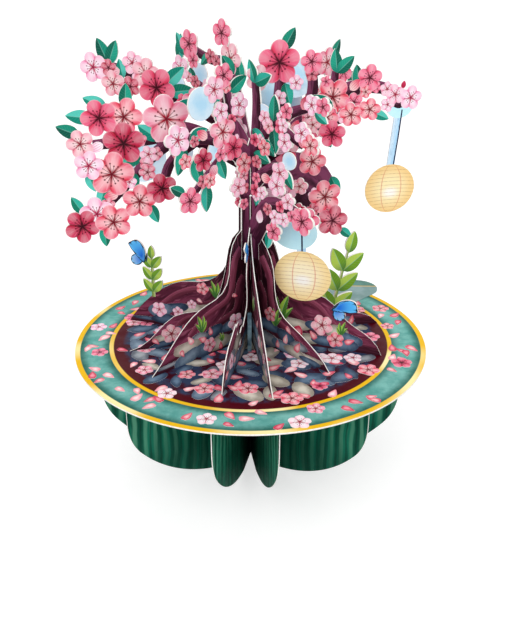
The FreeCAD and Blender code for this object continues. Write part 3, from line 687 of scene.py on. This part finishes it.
def bowl_ink(tree):
    """Bowl: deep green with lighter strokes from the rim down, darker low, and darker far in
    towards the axis as painted shade.
    """
    reach, rise, _ = spread_out(tree)
    wobble = cloud(tree, 26, 2)
    wave = maths(tree, "MULTIPLY_ADD", wobble, 9.0, maths(tree, "MULTIPLY_ADD", rise, 0.06, reach))
    stroke = combine(tree, times(tree, wave, 0.2), times(tree, rise, 0.012))
    broad = cloud(tree, 1.0, 2, vector=stroke)
    fine = cloud(tree, 4.0, 3, vector=stroke)
    colour = mix(tree, between(tree, broad, 0.44, 0.6), ink(2, 88, 68), ink(22, 126, 100))
    bands = zigzag(tree, maths(tree, "DIVIDE", wave, 7.0))
    drop = between(tree, maths(tree, "MULTIPLY_ADD", wobble, 40.0, rise), -38, 6, 0.25, 0.85)
    light = times(tree, between(tree, bands, 0.22, 0.42), drop)
    colour = mix(tree, light, colour, ink(96, 166, 136))
    colour = mix(tree, between(tree, bands, 0.02, 0.14, 0.55, 0), colour, ink(2, 48, 38))
    colour = mix(tree, between(tree, fine, 0.56, 0.74, 0, 0.35), colour, ink(96, 164, 138))
    colour = mix(tree, between(tree, fine, 0.3, 0.44, 0.4, 0), colour, ink(4, 56, 44))
    low = maths(tree, "MULTIPLY_ADD", wobble, 26.0, rise)
    colour = mix(tree, between(tree, low, -44, -20, 0.5, 0), colour, ink(2, 66, 50))
    # Painted shade: the bowl darkens far in towards the axis, inside the pot.
    colour = mix(tree, between(tree, reach, 4, 34, 0.92, 0), colour, ink(3, 20, 18))
    return keep_edges(tree, colour)


def ring(tree, reach, near, far, soft=0.25):
    """1 between two radii, 0 outside."""
    return times(tree, between(tree, reach, near - soft, near + soft),
                 between(tree, reach, far - soft, far + soft, 1, 0))


def tray_ink(tree):
    """Tray: dark ground, a gold line, a teal band and a gold rim, the gold with painted
    highlights; the underside is plain.
    """
    reach, _, _ = spread_out(tree)
    soil = cloud(tree, 130, 4, 0.65)
    colour = mix(tree, between(tree, soil, 0.42, 0.6), ink(46, 60, 88), ink(62, 8, 24))
    colour = mix(tree, between(tree, reach, 71, 74), colour, ink(74, 0, 16))
    brushed = cloud(tree, 90, 4, 0.7)
    wash = mix(tree, between(tree, brushed, 0.3, 0.7), ink(82, 154, 146), ink(126, 188, 180))
    nearer = times(tree, between(tree, positive(tree, less(tree, reach, 89.0)), 2.5, 8.0),
                   between(tree, brushed, 0.2, 0.6, 1, 0.8))
    wash = mix(tree, nearer, wash, ink(4, 84, 72))
    colour = mix(tree, between(tree, reach, 80.5, 80.9), colour, wash)
    # Gold with pale patches that are painted highlights, as on shiny gold.
    gold_with_painted_highlights = mix(tree, between(tree, cloud(tree, 22, 1), 0.48, 0.66), ink(238, 188, 22),
                ink(255, 242, 176))
    colour = mix(tree, ring(tree, reach, 78.6, BAND_RADIUS), colour, gold_with_painted_highlights)
    colour = mix(tree, between(tree, reach, TRAY_RADIUS - 0.5, TRAY_RADIUS), colour, gold_with_painted_highlights)
    normal = node(tree, "ShaderNodeNewGeometry").outputs["True Normal"]
    upward = split(tree, normal)[2]
    return mix(tree, maths(tree, "GREATER_THAN", upward, 0.5), white_edge(tree), colour)


def tab_ink(tree):
    """Pull tab: teal paper with a gold line across it and a paler end."""
    place = place_in(tree)
    deep = times(tree, split(tree, place)[1], 1000.0)
    paper = cloud(tree, 120, 3)
    teal = mix(tree, between(tree, paper, 0.35, 0.65), ink(74, 124, 112), ink(94, 146, 134))
    pale = mix(tree, between(tree, paper, 0.35, 0.65), ink(122, 154, 152), ink(142, 170, 172))
    colour = mix(tree, between(tree, deep, 75.9, 76.2), pale, teal)
    colour = mix(tree, ring(tree, deep, 76.0, 77.0, 0.1), colour, ink(232, 190, 96))
    return colour


def strip_ink(tree):
    return mix(tree, between(tree, cloud(tree, 200, 3), 0.35, 0.65), ink(70, 96, 110),
               ink(128, 158, 168))


def pendant_ink(tree):
    paper = mix(tree, between(tree, cloud(tree, 200, 3), 0.35, 0.65), ink(232, 214, 172),
                ink(242, 226, 190))
    return keep_edges(tree, paper)


def dress(node_names, material):
    """Puts a material on CAD nodes."""
    for name in node_names:
        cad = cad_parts[name]
        cad.data.materials.clear()
        cad.data.materials.append(material)


TREES = ["tree_sheet_2", "tree_sheet_3", "tree_sheet_4", "tree_sheet_5"]
dress(TREES + ["root_sheet_1", "root_sheet_6"], card_finish("root_face", root_ink))
dress(["pot_sheet_%d" % k for k in range(1, 7)], card_finish("bowl_face", bowl_ink))
dress(["tray_disc"], card_finish("tray_face", tray_ink, gloss=0.06))
dress(["note_tab"], card_finish("tab_face", tab_ink))
dress(["spine_strip"], card_finish("strip_face", strip_ink))
dress(["centre_pendant", "right_pendant"], card_finish("pendant_face", pendant_ink))


# Masters

def polar(points):
    """Points from (distance, degrees) pairs."""
    return [(out * math.cos(math.radians(turn)), out * math.sin(math.radians(turn)))
            for out, turn in points]


BLOSSOM = cut_shape("blossom_plate", blossom_outline(60), BLOSSOM_FACE)
SMALL_BLOSSOM = cut_shape("small_blossom_plate", blossom_outline(30), BLOSSOM_FACE)
ROUND = polar([(1, 45 * k) for k in range(8)])
DISC = cut_shape("disc_plate", rounded(ROUND, 40), MOTTLED_FACE)
LANTERN = cut_shape("lantern_plate", rounded(ROUND, 48), LANTERN_FACE)
PETAL = cut_shape("petal_plate", rounded([(0.92, 0.05), (0.85, 0.55), (0.2, 0.78),
                                          (-0.5, 0.42), (-1, 0), (-0.45, -0.4),
                                          (0.25, -0.72), (0.9, -0.5)], 16), MOTTLED_FACE)
STONES = [cut_shape("stone_plate_%d" % k, rounded(points, 20), MOTTLED_FACE)
          for k, points in enumerate((
              [(1, 0.1), (0.6, 0.62), (-0.2, 0.7), (-0.9, 0.4), (-0.95, -0.2), (-0.3, -0.7),
               (0.6, -0.6)],
              [(0.95, 0), (0.75, 0.5), (0.1, 0.62), (-0.7, 0.6), (-1, 0), (-0.6, -0.55),
               (0.2, -0.72), (0.85, -0.45)],
              [(1, -0.1), (0.7, 0.45), (0, 0.8), (-0.6, 0.5), (-1, -0.1), (-0.5, -0.5),
               (0.3, -0.55)]))]
FORE_WING = cut_shape("fore_wing_plate", rounded(polar(
    [(0.62, 8), (0.66, 22), (0.62, 38), (0.45, 52), (0.2, 66), (0.12, -90)]), 30), WING_FACE)
HIND_WING = cut_shape("hind_wing_plate", rounded(polar(
    [(0.3, 0), (0.12, 60), (0.22, -76), (0.4, -58), (0.46, -38), (0.42, -18)]), 30), WING_FACE)
LEAF = leaf_plate("leaf_plate", LEAF_FACE, 0.27, 0.0)
BLADE = leaf_plate("blade_plate", LEAF_FACE, 0.13, 0.06)
BUD = leaf_plate("bud_plate", BUD_FACE, 0.34, 0.0)
MASTERS = [BLOSSOM, SMALL_BLOSSOM, DISC, LANTERN, PETAL, FORE_WING, HIND_WING, LEAF, BLADE,
           BUD] + STONES

PINKS = {
    "p": ((252, 226, 236), (246, 186, 210), (196, 20, 70)),
    "c": ((250, 224, 224), (240, 162, 180), (170, 18, 52)),
    "d": ((222, 82, 122), (230, 96, 136), (66, 0, 24)),
    "b": ((254, 224, 228), (238, 128, 160), (180, 8, 46)),
    "k": ((248, 198, 208), (222, 96, 130), (124, 4, 36)),
    "r": ((240, 134, 160), (240, 110, 146), (90, 0, 30)),
    "w": ((184, 30, 70), (210, 52, 94), (44, 0, 14)),
    "s": ((252, 206, 208), (236, 86, 118), (146, 2, 32)),
    "m": ((230, 138, 154), (200, 64, 96), (84, 2, 32)),
    "R": ((214, 62, 100), (238, 96, 134), (66, 0, 22)),
    "l": ((255, 242, 250), (248, 188, 216), (204, 22, 86)),
    "h": ((255, 250, 252), (252, 220, 230), (190, 16, 62)),
}
GREENS = (((4, 104, 84), (30, 158, 132)), ((6, 122, 98), (48, 176, 156)),
          ((10, 134, 114), (84, 198, 182)), ((2, 86, 70), (20, 138, 114)))
SKY = ((178, 222, 246), (212, 236, 250))
BARK_DARK, BARK_LIT = (50, 12, 32), (126, 60, 94)
SLATE = (((104, 130, 154), (54, 72, 96)), ((136, 158, 176), (80, 100, 122)),
         ((82, 104, 128), (40, 54, 76)))
PEBBLE = (((204, 200, 186), (140, 134, 122)), ((216, 210, 196), (150, 142, 130)),
          ((160, 166, 172), (92, 98, 110)))
GRASS = ((76, 126, 40), (156, 196, 70))
SPROUT = ((112, 158, 36), (178, 208, 84))
PETALS = (((255, 200, 202), (220, 78, 106)), ((246, 152, 166), (204, 48, 82)),
          ((255, 232, 230), (244, 150, 164)))
SPRIGS = {-106: ((60, 18, 27, 0),), 106: ((48, 7, 44, 13),)}
BUTTERFLIES = {-106: ((64, 41, 20, 30),), 74: ((48, 26, 20, -18),), -11: ((6.5, 54, 15, 20),)}
PENDANTS = (
    ("centre", 74, {"lantern": (30, 42, 32, 29), "sky": (25, 67, 25, 20),
                    "paper": ((255, 242, 206), (250, 222, 160)),
                    "strip": ((29, 50, 5), (29, 62, 5)),
                    "string": ((29.5, 55, 0.9), (29, 68, 0.9)), "blossoms": (), "boughs": (),
                    "buds": ()}),
    ("right", 106, {"lantern": (80, 83, 29.4, 27.3), "sky": (82, 129, 16, 15),
                    "paper": ((252, 236, 186), (244, 208, 142)),
                    "strip": ((79, 92, 4.5), (82, 128, 4.5)),
                    "string": ((81, 96, 0.8), (82.6, 112, 0.8), (83.6, 126, 0.8)),
                    "blossoms": (("l", (75, 129, 8, 0)), ("p", (79, 134, 11, 30)),
                                 ("l", (88, 132, 13, 10))),
                    "boughs": (((78, 131, 5), (82, 129, 4.5), (88, 132, 3)),),
                    "buds": ((83, 137, 4, 80),)}),
)


def inks(*colours):
    return [ink(*colour) for colour in colours]


def rows(words):
    """Rows of numbers from text such as "36 123 11, 42 137 10"."""
    return [tuple(float(value) for value in row.split()) for row in words.split(",") if row]


# Branches, blossoms, leaves and sky patches of each half sheet. A row gives reach and rise, and
# then the width of a bough, the breadth and turn of a blossom, the length and turn of a leaf, or
# the breadth of a patch. The hues are those of the blossoms, in the same order.

CANOPY = {
    46: {
        "hues": "llpllprrrslrrlspRll",
        "boughs": ("0 104 12, 10 120 9, 18 127 7, 32 133 5, 42 136 4",
                   "18 126 6, 28 121 5, 37 117 4",
                   "3 92 8, 14 101 6, 22 104 4",
                   "2 62 12, 10 76 12, 16 83 9, 28 84 6, 38 82 4",
                   "4 112 7, 5 132 6, 4 144 5"),
        "blossoms": "36 123 11 10, 42 137 10 50, 22 101 12 0, 20 94 12 40, 9 88 7 0, 28 87 9 20, "
                    "38 79 15 0, 31 80 7 10, 26 132 8 20, 11 112 9 30, 25 117 10 60, 49 137 9 0, "
                    "18 69 11 15, 19 77 8 30, 42 118 11 30, 11 127 8 50, 4 115 7 0, 24 125 7 10, "
                    "25 77 8 0",
        "leaves": "4 143 12 112, 4 143 12 24, 17 126 13 88, 17 123 13 278, 24 103 11 308, "
                  "15 68 10 260, 2 120 11 330, 3 108 12 345, 6 90 10 262, 44 134 9 330, "
                  "10 116 11 318",
        "patches": "9 126 15, 28 108 9",
    },
    74: {
        "hues": "sssRcwcpwrc",
        "boughs": ("0 104 13, 16 113 9, 34 124 6, 56 131 5",
                   "0 78 13, 14 80 9, 27 74 6",
                   "0 86 10, 14 89 8, 27 91 6"),
        "blossoms": "40 128 12 0, 52 130 12 30, 61 133 11 10, 43 120 14 20, 22 116 13 0, "
                    "27 79 8 20, 27 92 9 10, 20 86 11 30, 21 76 9 0, 32 74 13 5, 33 124 8 0",
        "leaves": "43 133 14 163, 62 132 9 340, 16 118 11 110",
        "patches": "10 119 14",
    },
    106: {
        "hues": "RcrrsRssmmslrr",
        "boughs": ("0 98 14, 18 112 11, 34 127 9, 48 136 8, 62 139 7, 80 136 5",
                   "14 110 8, 15 130 7, 16 150 5",
                   "30 124 7, 33 138 6, 32 150 5",
                   "44 134 5, 45 147 4",
                   "3 84 26, 20 88 38, 34 86 28, 46 68 8"),
        "blossoms": "15 152 22 18, 4 145 13 0, 32 152 12 30, 64 143 14 10, 44 134 20 50, "
                    "19 108 15 20, 34 101 16 0, 42 81 19 30, 47 67 18 5, 35 74 8 20, 62 136 7 0, "
                    "24 142 8 10, 40 142 6 0, 56 131 10 30",
        "leaves": "46 146 12 98, 46 146 12 42, 58 139 11 98, 17 158 12 60, 18 142 12 285, "
                  "45 92 11 300, 52 62 9 320, 26 108 10 80",
        "patches": "24 144 19, 12 134 20",
    },
    134: {
        "hues": "bskcsbrckms",
        "boughs": ("0 104 12, 8 122 9, 20 134 7, 38 142 6, 58 146 5, 72 143 4",
                   "12 122 6, 34 119 5, 66 114 4",
                   "3 88 9, 18 96 6, 34 92 4"),
        "blossoms": "56 148 16 0, 40 143 13 20, 22 138 16 40, 53 115 16 10, 36 121 14 0, "
                    "12 129 13 30, 70 142 14 50, 67 120 13 5, 34 93 14 0, 20 99 11 20, "
                    "46 132 11 15",
        "leaves": "60 149 12 60, 30 139 13 100, 56 112 13 300, 39 117 12 280, 28 94 12 255, "
                  "73 140 12 340, 14 136 12 95",
        "patches": "30 129 16, 52 127 18",
    },
    -134: {
        "hues": "rrclrpplm",
        "boughs": ("0 104 12, 6 122 9, 10 138 7, 17 150 6, 32 152 5, 46 157 4",
                   "8 128 7, 28 134 5, 53 143 4"),
        "blossoms": "46 158 15 0, 20 165 14 20, 14 153 16 40, 54 145 14 0, 43 150 9 10, "
                    "30 137 12 30, 14 134 12 0, 8 118 13 20, 29 153 8 5",
        "leaves": "55 149 14 100, 50 152 13 60, 46 146 12 250, 30 154 9 320, 24 142 11 200, "
                  "6 142 13 80",
        "patches": "20 130 15, 38 143 12",
    },
    -106: {
        "hues": "lmpcRmblcR",
        "boughs": ("0 104 12, 12 122 10, 30 130 8, 50 137 7, 66 145 6, 84 149 4",),
        "blossoms": "87 147 16 0, 78 147 9 20, 64 150 12 10, 57 145 16 30, 51 138 21 50, "
                    "66 138 11 0, 30 132 14 15, 14 122 13 40, 76 139 14 10, 8 110 14 10",
        "leaves": "78 149 14 66, 78 149 13 114, 46 140 14 140, 44 136 14 172, 70 142 10 80, "
                  "36 128 12 300, 20 130 12 100",
        "patches": "40 140 10",
    },
    -74: {
        "hues": "bsRwpslwsswclk",
        "boughs": ("0 104 13, 18 113 11, 36 121 9, 52 118 7, 80 116 5",
                   "36 120 7, 52 108 6, 66 94 5, 84 77 4",
                   "28 116 6, 42 105 5, 47 92 4"),
        "blossoms": "43 127 24 10, 64 129 19 40, 76 129 18 0, 65 116 21 20, 53 110 9 0, "
                    "72 101 23 30, 81 81 18 10, 89 75 18 50, 73 76 19 0, 59 86 18 25, 47 92 16 5, "
                    "86 117 14 0, 83 106 15 30, 54 101 9 0",
        "leaves": "63 133 12 95, 79 129 13 8, 72 134 12 24, 47 117 13 36, 39 130 13 155, "
                  "61 101 9 265, 76 95 11 288, 78 74 11 268, 54 84 11 248, 56 110 14 340, "
                  "84 102 10 250, 86 121 12 24, 88 82 10 60",
        "patches": "56 108 24, 66 106 16, 36 110 12",
    },
    -46: {
        "hues": "lrbmrRlplwsspsr",
        "boughs": ("0 104 12, 14 113 9, 26 119 7, 46 121 4",
                   "14 112 7, 28 102 5, 40 92 4",
                   "10 112 8, 14 132 5, 17 147 4",
                   "2 84 8, 9 92 5"),
        "blossoms": "47 121 15 0, 41 90 14 30, 19 121 17 15, 37 119 6 0, 18 148 12 40, "
                    "12 112 13 10, 8 133 12 30, 9 91 11 0, 20 131 10 0, 32 109 12 20, 28 98 8 0, "
                    "5 103 11 20, 24 142 13 0, 43 110 8 10, 21 110 7 0",
        "leaves": "43 117 14 290, 38 110 14 250, 30 96 14 272, 22 108 12 248, 40 120 12 160, "
                  "14 140 13 150, 24 130 13 200, 11 148 12 50, 44 94 10 30",
        "patches": "32 136 16, 22 112 13",
    },
}
TRUNK = ((4.2, 50, 5.2), (4.1, 80, 4.8), (4.1, 107, 4.8))
TRUNK_BLOSSOM_RISES = (83, 90, 97, 104)
SHEET_OF = {46: "2a", -134: "2b", 74: "3a", -106: "3b", 106: "4a", -74: "4b", 134: "5a",
            -46: "5b", 11: "1a", -169: "1b", 169: "6a", -11: "6b"}

# Upper edge of the roots on each half, outwards from the trunk: reach and rise

ROOTS = {
    11: "4 57, 12 45, 25 34, 37 24, 52 13, 62 5, 70 0",
    46: "10 61, 17 50, 19 36, 24 23, 35 17, 45 12, 53 7, 60 0",
    74: "13 60, 17 48, 22 38, 30 33, 39 32, 47 28, 55 19, 66 12, 76 0",
    106: "13 58, 17 44, 20 30, 28 18, 40 11, 54 9, 66 8, 79 0",
    134: "12 60, 16 47, 20 34, 30 24, 42 18, 54 12, 64 6, 70 0",
    169: "6 58, 10 46, 16 34, 28 24, 42 14, 54 7, 64 0",
    -169: "7 58, 11 45, 18 32, 30 22, 44 14, 56 6, 66 0",
    -134: "11 60, 15 46, 20 34, 32 27, 44 20, 56 14, 72 0",
    -106: "8 62, 11 53, 14 44, 21 35, 30 31, 41 30, 54 24, 66 14, 77 0",
    -74: "11 60, 14 46, 17 33, 23 22, 32 20, 43 19, 52 12, 70 0",
    -46: "8 66, 13 60, 15 51, 17 39, 22 33, 32 30, 42 26, 52 18, 70 0",
    -11: "5 62, 9 50, 8 36, 10 24, 18 17, 33 7, 36 25, 41 23, 54 18, 62 9, 66 0",
}
ROOTS = {angle: rows(edge) for angle, edge in ROOTS.items()}

# What lies at the foot of the roots on each half: blossoms, petals and grass, by reach, rise and
# size

FALLEN = {
    -106: ("57 10 10, 29 27 8, 45 10 7, 36 16 6", "31 19 4", "21 22 11"),
    -74: ("46 8 12", "38 11 4, 55 4 5", ""),
    -46: ("31 6 9, 12 14 11",
          "44 13 6, 36 11 6, 30 14 5, 12 30 4, 23 3 5, 50 7 5",
          "36 15 11, 22 5 6"),
    -11: ("47 9 9", "56 6 6, 40 6 5", ""),
    11: ("30 12 7, 44 9 6", "24 20 5, 38 14 5, 52 5 5", "12 22 10"),
    46: ("16 20 9", "28 9 6, 37 7 7, 22 4 5, 30 15 5", "20 14 12"),
    74: ("42 14 13, 50 6 10", "29 8 8, 37 7 6, 58 6 6", "53 9 9, 18 12 18"),
    106: ("36 6 7", "62 4 6, 48 4 5", ""),
    134: ("40 9 10, 22 18 8", "52 7 5, 30 8 5", "30 14 9"),
    169: ("26 12 9", "38 8 5, 48 4 5", ""),
    -169: ("30 11 9", "42 7 5, 20 20 5", ""),
    -134: ("40 10 11, 24 20 8", "54 7 5, 32 10 5", "30 16 10"),
}


def root_top(angle, reach):
    """Height of the root edge at this reach."""
    edge = [(0, ROOT_TOP)] + ROOTS[angle]
    for (near, high), (far, low) in zip(edge, edge[1:]):
        if near <= reach <= far:
            return high + (low - high) * (reach - near) / (far - near)
    return 0


def clear_of_axis(path):
    """Keeps the near end of a bough outside the slot of its sheet."""
    return [(max(reach, SLOT_HALF), rise, width) for reach, rise, width in path]


class HalfPrint:
    """The growing pile of plates on one half sheet; each lies a hair above the last."""

    def __init__(self, angle, offset=0.0):
        self.angle = angle
        self.base = half_plane(angle)
        self.offset = offset
        self.level = 0
        self.piles = {}

    def add(self, pile, master, spot, scale, turn, colours):
        self.level += 1
        plate = stamp(master, self.base, spot, scale, turn, 2 * (HALF_CARD + LAYER * self.level),
                      colours, self.offset)
        self.piles.setdefault(pile, []).append(plate)

    def add_strip(self, pile, path, colours, face=BARK_FACE):
        strip = bark_strip("strip", path, face)
        self.add(pile, strip, (0, 0), 1, 0, colours)
        bpy.data.objects.remove(strip)

    def finish(self, tag):
        for pile, plates in self.piles.items():
            join_print("%s_print_%s" % (pile, tag), plates)


def print_roots(half, chance):
    """Plum flows along the root, stones at its foot, and what has fallen on them."""
    angle = half.angle
    edge = [point for point in ROOTS[angle] if point[1] > 3]
    for share, width, colours in ((0.86, 5, inks((96, 38, 56), (150, 74, 98))),
                                  (0.6, 6, inks((60, 20, 34), (116, 52, 72)))):
        path = [(max(reach * share, 2.5), rise * share, width * (0.5 + 0.5 * rise / 60))
                for reach, rise in edge]
        half.add_strip("bark", path, colours)
    toe = ROOTS[angle][-1][0]
    for share in (0.55, 0.18):
        reach = 14.0
        while reach < toe - 8:
            wide = chance.uniform(6.5, 11)
            top = min(root_top(angle, reach + 0.8 * wide), 22)
            high = min(chance.uniform(4, 6.5), 0.36 * top)
            if high > 1.6:
                half.add("bark", chance.choice(STONES), (reach, top * share + 0.5), (wide, high),
                         chance.uniform(-14, 2), inks(*chance.choice(SLATE + SLATE + PEBBLE)))
            reach += wide * chance.uniform(1.1, 1.5)
    blossoms, petals, grass = [rows(places) for places in FALLEN[angle]]
    for reach, rise, tall in grass:
        for lean, share in ((-34, 0.7), (-14, 1.0), (8, 0.9), (28, 0.65)):
            half.add("bark", BLADE, (reach, rise), tall * share, 90 + lean, inks(*GRASS))
    for reach, rise, across in petals:
        half.add("bark", PETAL, (reach, rise), (across / 2, across / 2.6), chance.uniform(0, 360),
                 inks(*chance.choice(PETALS)))
    for reach, rise, across in blossoms:
        half.add("bark", SMALL_BLOSSOM, (reach, rise), across / 2, chance.uniform(0, 72),
                 inks(*PINKS[chance.choice("pbcpks")]))


def dot_bough(half, path, chance):
    """Small blossoms and buds on the outer part of a bough, a little over its edges."""
    for (near, low, thick), (far, high, thin) in zip(path, path[1:]):
        long = math.hypot(far - near, high - low)
        run = math.degrees(math.atan2(high - low, far - near))
        count = int(long / 8)
        for k in range(count):
            share = (k + chance.uniform(0.3, 0.7)) / count
            reach = near + (far - near) * share
            rise = low + (high - low) * share
            if reach < 6:
                continue
            if chance.random() < 0.6:
                size = min(chance.uniform(3.0, 4.2), 1.6 + (thick + thin) / 4)
                half.add("blossom", SMALL_BLOSSOM, (reach, rise), size, chance.uniform(0, 72),
                         inks(*PINKS[chance.choice("lpskrbmR")]))
            else:
                half.add("blossom", BUD, (reach, rise), 7.5,
                         run + chance.choice((-1, 1)) * chance.uniform(20, 50),
                         inks(*PINKS[chance.choice("slkm")]))


def print_canopy(half, content, chance):
    """Trunk, boughs, sky patches, leaves, blossoms and buds of a half sheet."""
    boughs = [clear_of_axis(rows(path)) for path in content["boughs"]]
    for spot in rows(content["patches"]):
        half.add("blossom", DISC, spot, spot[2] / 2, 0, inks(*SKY))
    wood = inks(BARK_DARK, BARK_LIT)
    half.add_strip("bark", TRUNK, wood)
    for path in boughs:
        half.add_strip("bark", path, wood)
    for reach, rise, long, turn in rows(content["leaves"]):
        half.add("blossom", LEAF, (reach, rise), long, turn, inks(*chance.choice(GREENS)))
    for rise in TRUNK_BLOSSOM_RISES:
        spot = (chance.uniform(4.0, 5.6), rise + chance.uniform(-2.5, 2.5))
        half.add("blossom", SMALL_BLOSSOM, spot, chance.uniform(2.8, 4.0), chance.uniform(0, 72),
                 inks(*PINKS[chance.choice("lpskrbmR")]))
    for path in boughs:
        dot_bough(half, path, chance)
    for hue, (reach, rise, across, turn) in zip(content["hues"], rows(content["blossoms"])):
        half.add("blossom", BLOSSOM, (reach, rise), across / 2, turn, inks(*PINKS[hue]))


def print_sprig(half, reach, rise, height, lean):
    """A sprout: a stem with pairs of narrow leaves."""
    run = math.radians(90 - lean)
    tip = (reach + height * math.cos(run), rise + height * math.sin(run))
    half.add_strip("bark", [(reach, rise, 2.2), (tip[0], tip[1], 1.0)],
                   inks((120, 150, 70), (190, 206, 130)))
    for share in (0.12, 0.4, 0.68):
        stem = (reach + share * height * math.cos(run), rise + share * height * math.sin(run))
        for side in (-1, 1):
            half.add("bark", LEAF, stem, 0.36 * height, 90 - lean + 38 * side, inks(*SPROUT))
    half.add("bark", LEAF, (tip[0], tip[1] - 3), 0.3 * height, 90 - lean, inks(*SPROUT))


def print_butterfly(half, reach, rise, span, lean):
    """Two wings seen from the side, with the body where they meet."""
    half.add("bark", HIND_WING, (reach, rise), span, lean, inks((40, 130, 236), (176, 220, 250)))
    half.add("bark", FORE_WING, (reach, rise), span, lean, inks((24, 104, 222), (84, 184, 252)))
    half.add("bark", LEAF, (reach - 0.5, rise - 1.5), (0.3 * span, 0.12 * span), lean + 70,
             inks((18, 22, 40), (40, 50, 80)))


def print_pendant(tag, angle, parts):
    """Sky disc, strip with its string, and lantern of a pendant, on its own card."""
    half = HalfPrint(angle, offset=2 * HALF_CARD)
    reach, rise, wide, high = parts["lantern"]
    half.add_strip("lantern", parts["strip"], inks((176, 220, 250), (214, 236, 252)))
    sky = parts["sky"]
    half.add("lantern", DISC, sky, (sky[2] / 2, sky[3] / 2), 0,
             inks((190, 240, 255), (200, 244, 255)))
    half.add_strip("lantern", parts["string"], inks((24, 34, 66), (40, 52, 90)))
    half.add("lantern", LANTERN, (reach, rise), (wide / 2, high / 2), 0, inks(*parts["paper"]))
    for path in parts["boughs"]:
        half.add_strip("lantern", path, inks(BARK_DARK, BARK_LIT))
    for hue, (reach, rise, across, turn) in parts["blossoms"]:
        half.add("lantern", BLOSSOM, (reach, rise), across / 2, turn, inks(*PINKS[hue]))
    for reach, rise, long, turn in parts["buds"]:
        half.add("lantern", BUD, (reach, rise), long, turn, inks(*PINKS["w"]))
    half.finish(tag)


def scatter(low, high, count, chance):
    """Radius and turn of places spread evenly between two radii, with some disorder."""
    places = []
    for k in range(count):
        share = (k + chance.uniform(0, 1)) / count
        radius = math.sqrt(low ** 2 + (high ** 2 - low ** 2) * share)
        places.append((radius, k * math.radians(GOLDEN_ANGLE) + chance.uniform(-0.35, 0.35)))
    return places


def print_tray():
    """Stones, blossoms and petals on the tray, thin as ink."""
    chance = random.Random(7)
    plates = []
    level = 0

    def lay(master, radius, turn, scale, own_turn, colours):
        spot = (radius * math.cos(turn), radius * math.sin(turn))
        thick = INK_THICK + 0.0012 * level
        plates.append(stamp(master, TRAY_PLANE, spot, scale, own_turn, thick, colours))

    for radius, count in ((12, 6), (22, 10), (33, 14), (44, 19), (55, 25), (66, 32)):
        for k in range(count):
            turn = 2 * math.pi * (k + chance.uniform(-0.3, 0.3)) / count
            wide = chance.uniform(6, 10)
            lay(chance.choice(STONES), radius + chance.uniform(-3, 3), turn,
                (wide, wide * chance.uniform(0.6, 0.85)), chance.uniform(0, 360),
                inks(*chance.choice(SLATE + SLATE + PEBBLE)))
            level += 1
    for low, high, count in ((14, 76, 100), (81, 95, 60)):
        for radius, turn in scatter(low, high, count, chance):
            long = chance.uniform(3.0, 4.4)
            lay(PETAL, radius, turn, (long, long * 0.75), chance.uniform(0, 360),
                inks(*chance.choice(PETALS)))
            level += 1
    for low, high, count in ((18, 78, 44), (82, 93, 11)):
        for radius, turn in scatter(low, high, count, chance):
            lay(SMALL_BLOSSOM, radius, turn, chance.uniform(4.2, 6.4), chance.uniform(0, 72),
                inks(*PINKS[chance.choice("shbRhlsr")]))
            level += 1
    join_print("tray_picture", plates)


print_tray()
for angle, tag in SHEET_OF.items():
    half = HalfPrint(angle)
    chance = random.Random(angle)
    print_roots(half, chance)
    if angle in CANOPY:
        print_canopy(half, CANOPY[angle], chance)
    for place in SPRIGS.get(angle, ()):
        print_sprig(half, *place)
    for place in BUTTERFLIES.get(angle, ()):
        print_butterfly(half, *place)
    half.finish(tag)
for tag, angle, parts in PENDANTS:
    print_pendant(tag, angle, parts)

for master in MASTERS:
    bpy.data.objects.remove(master)
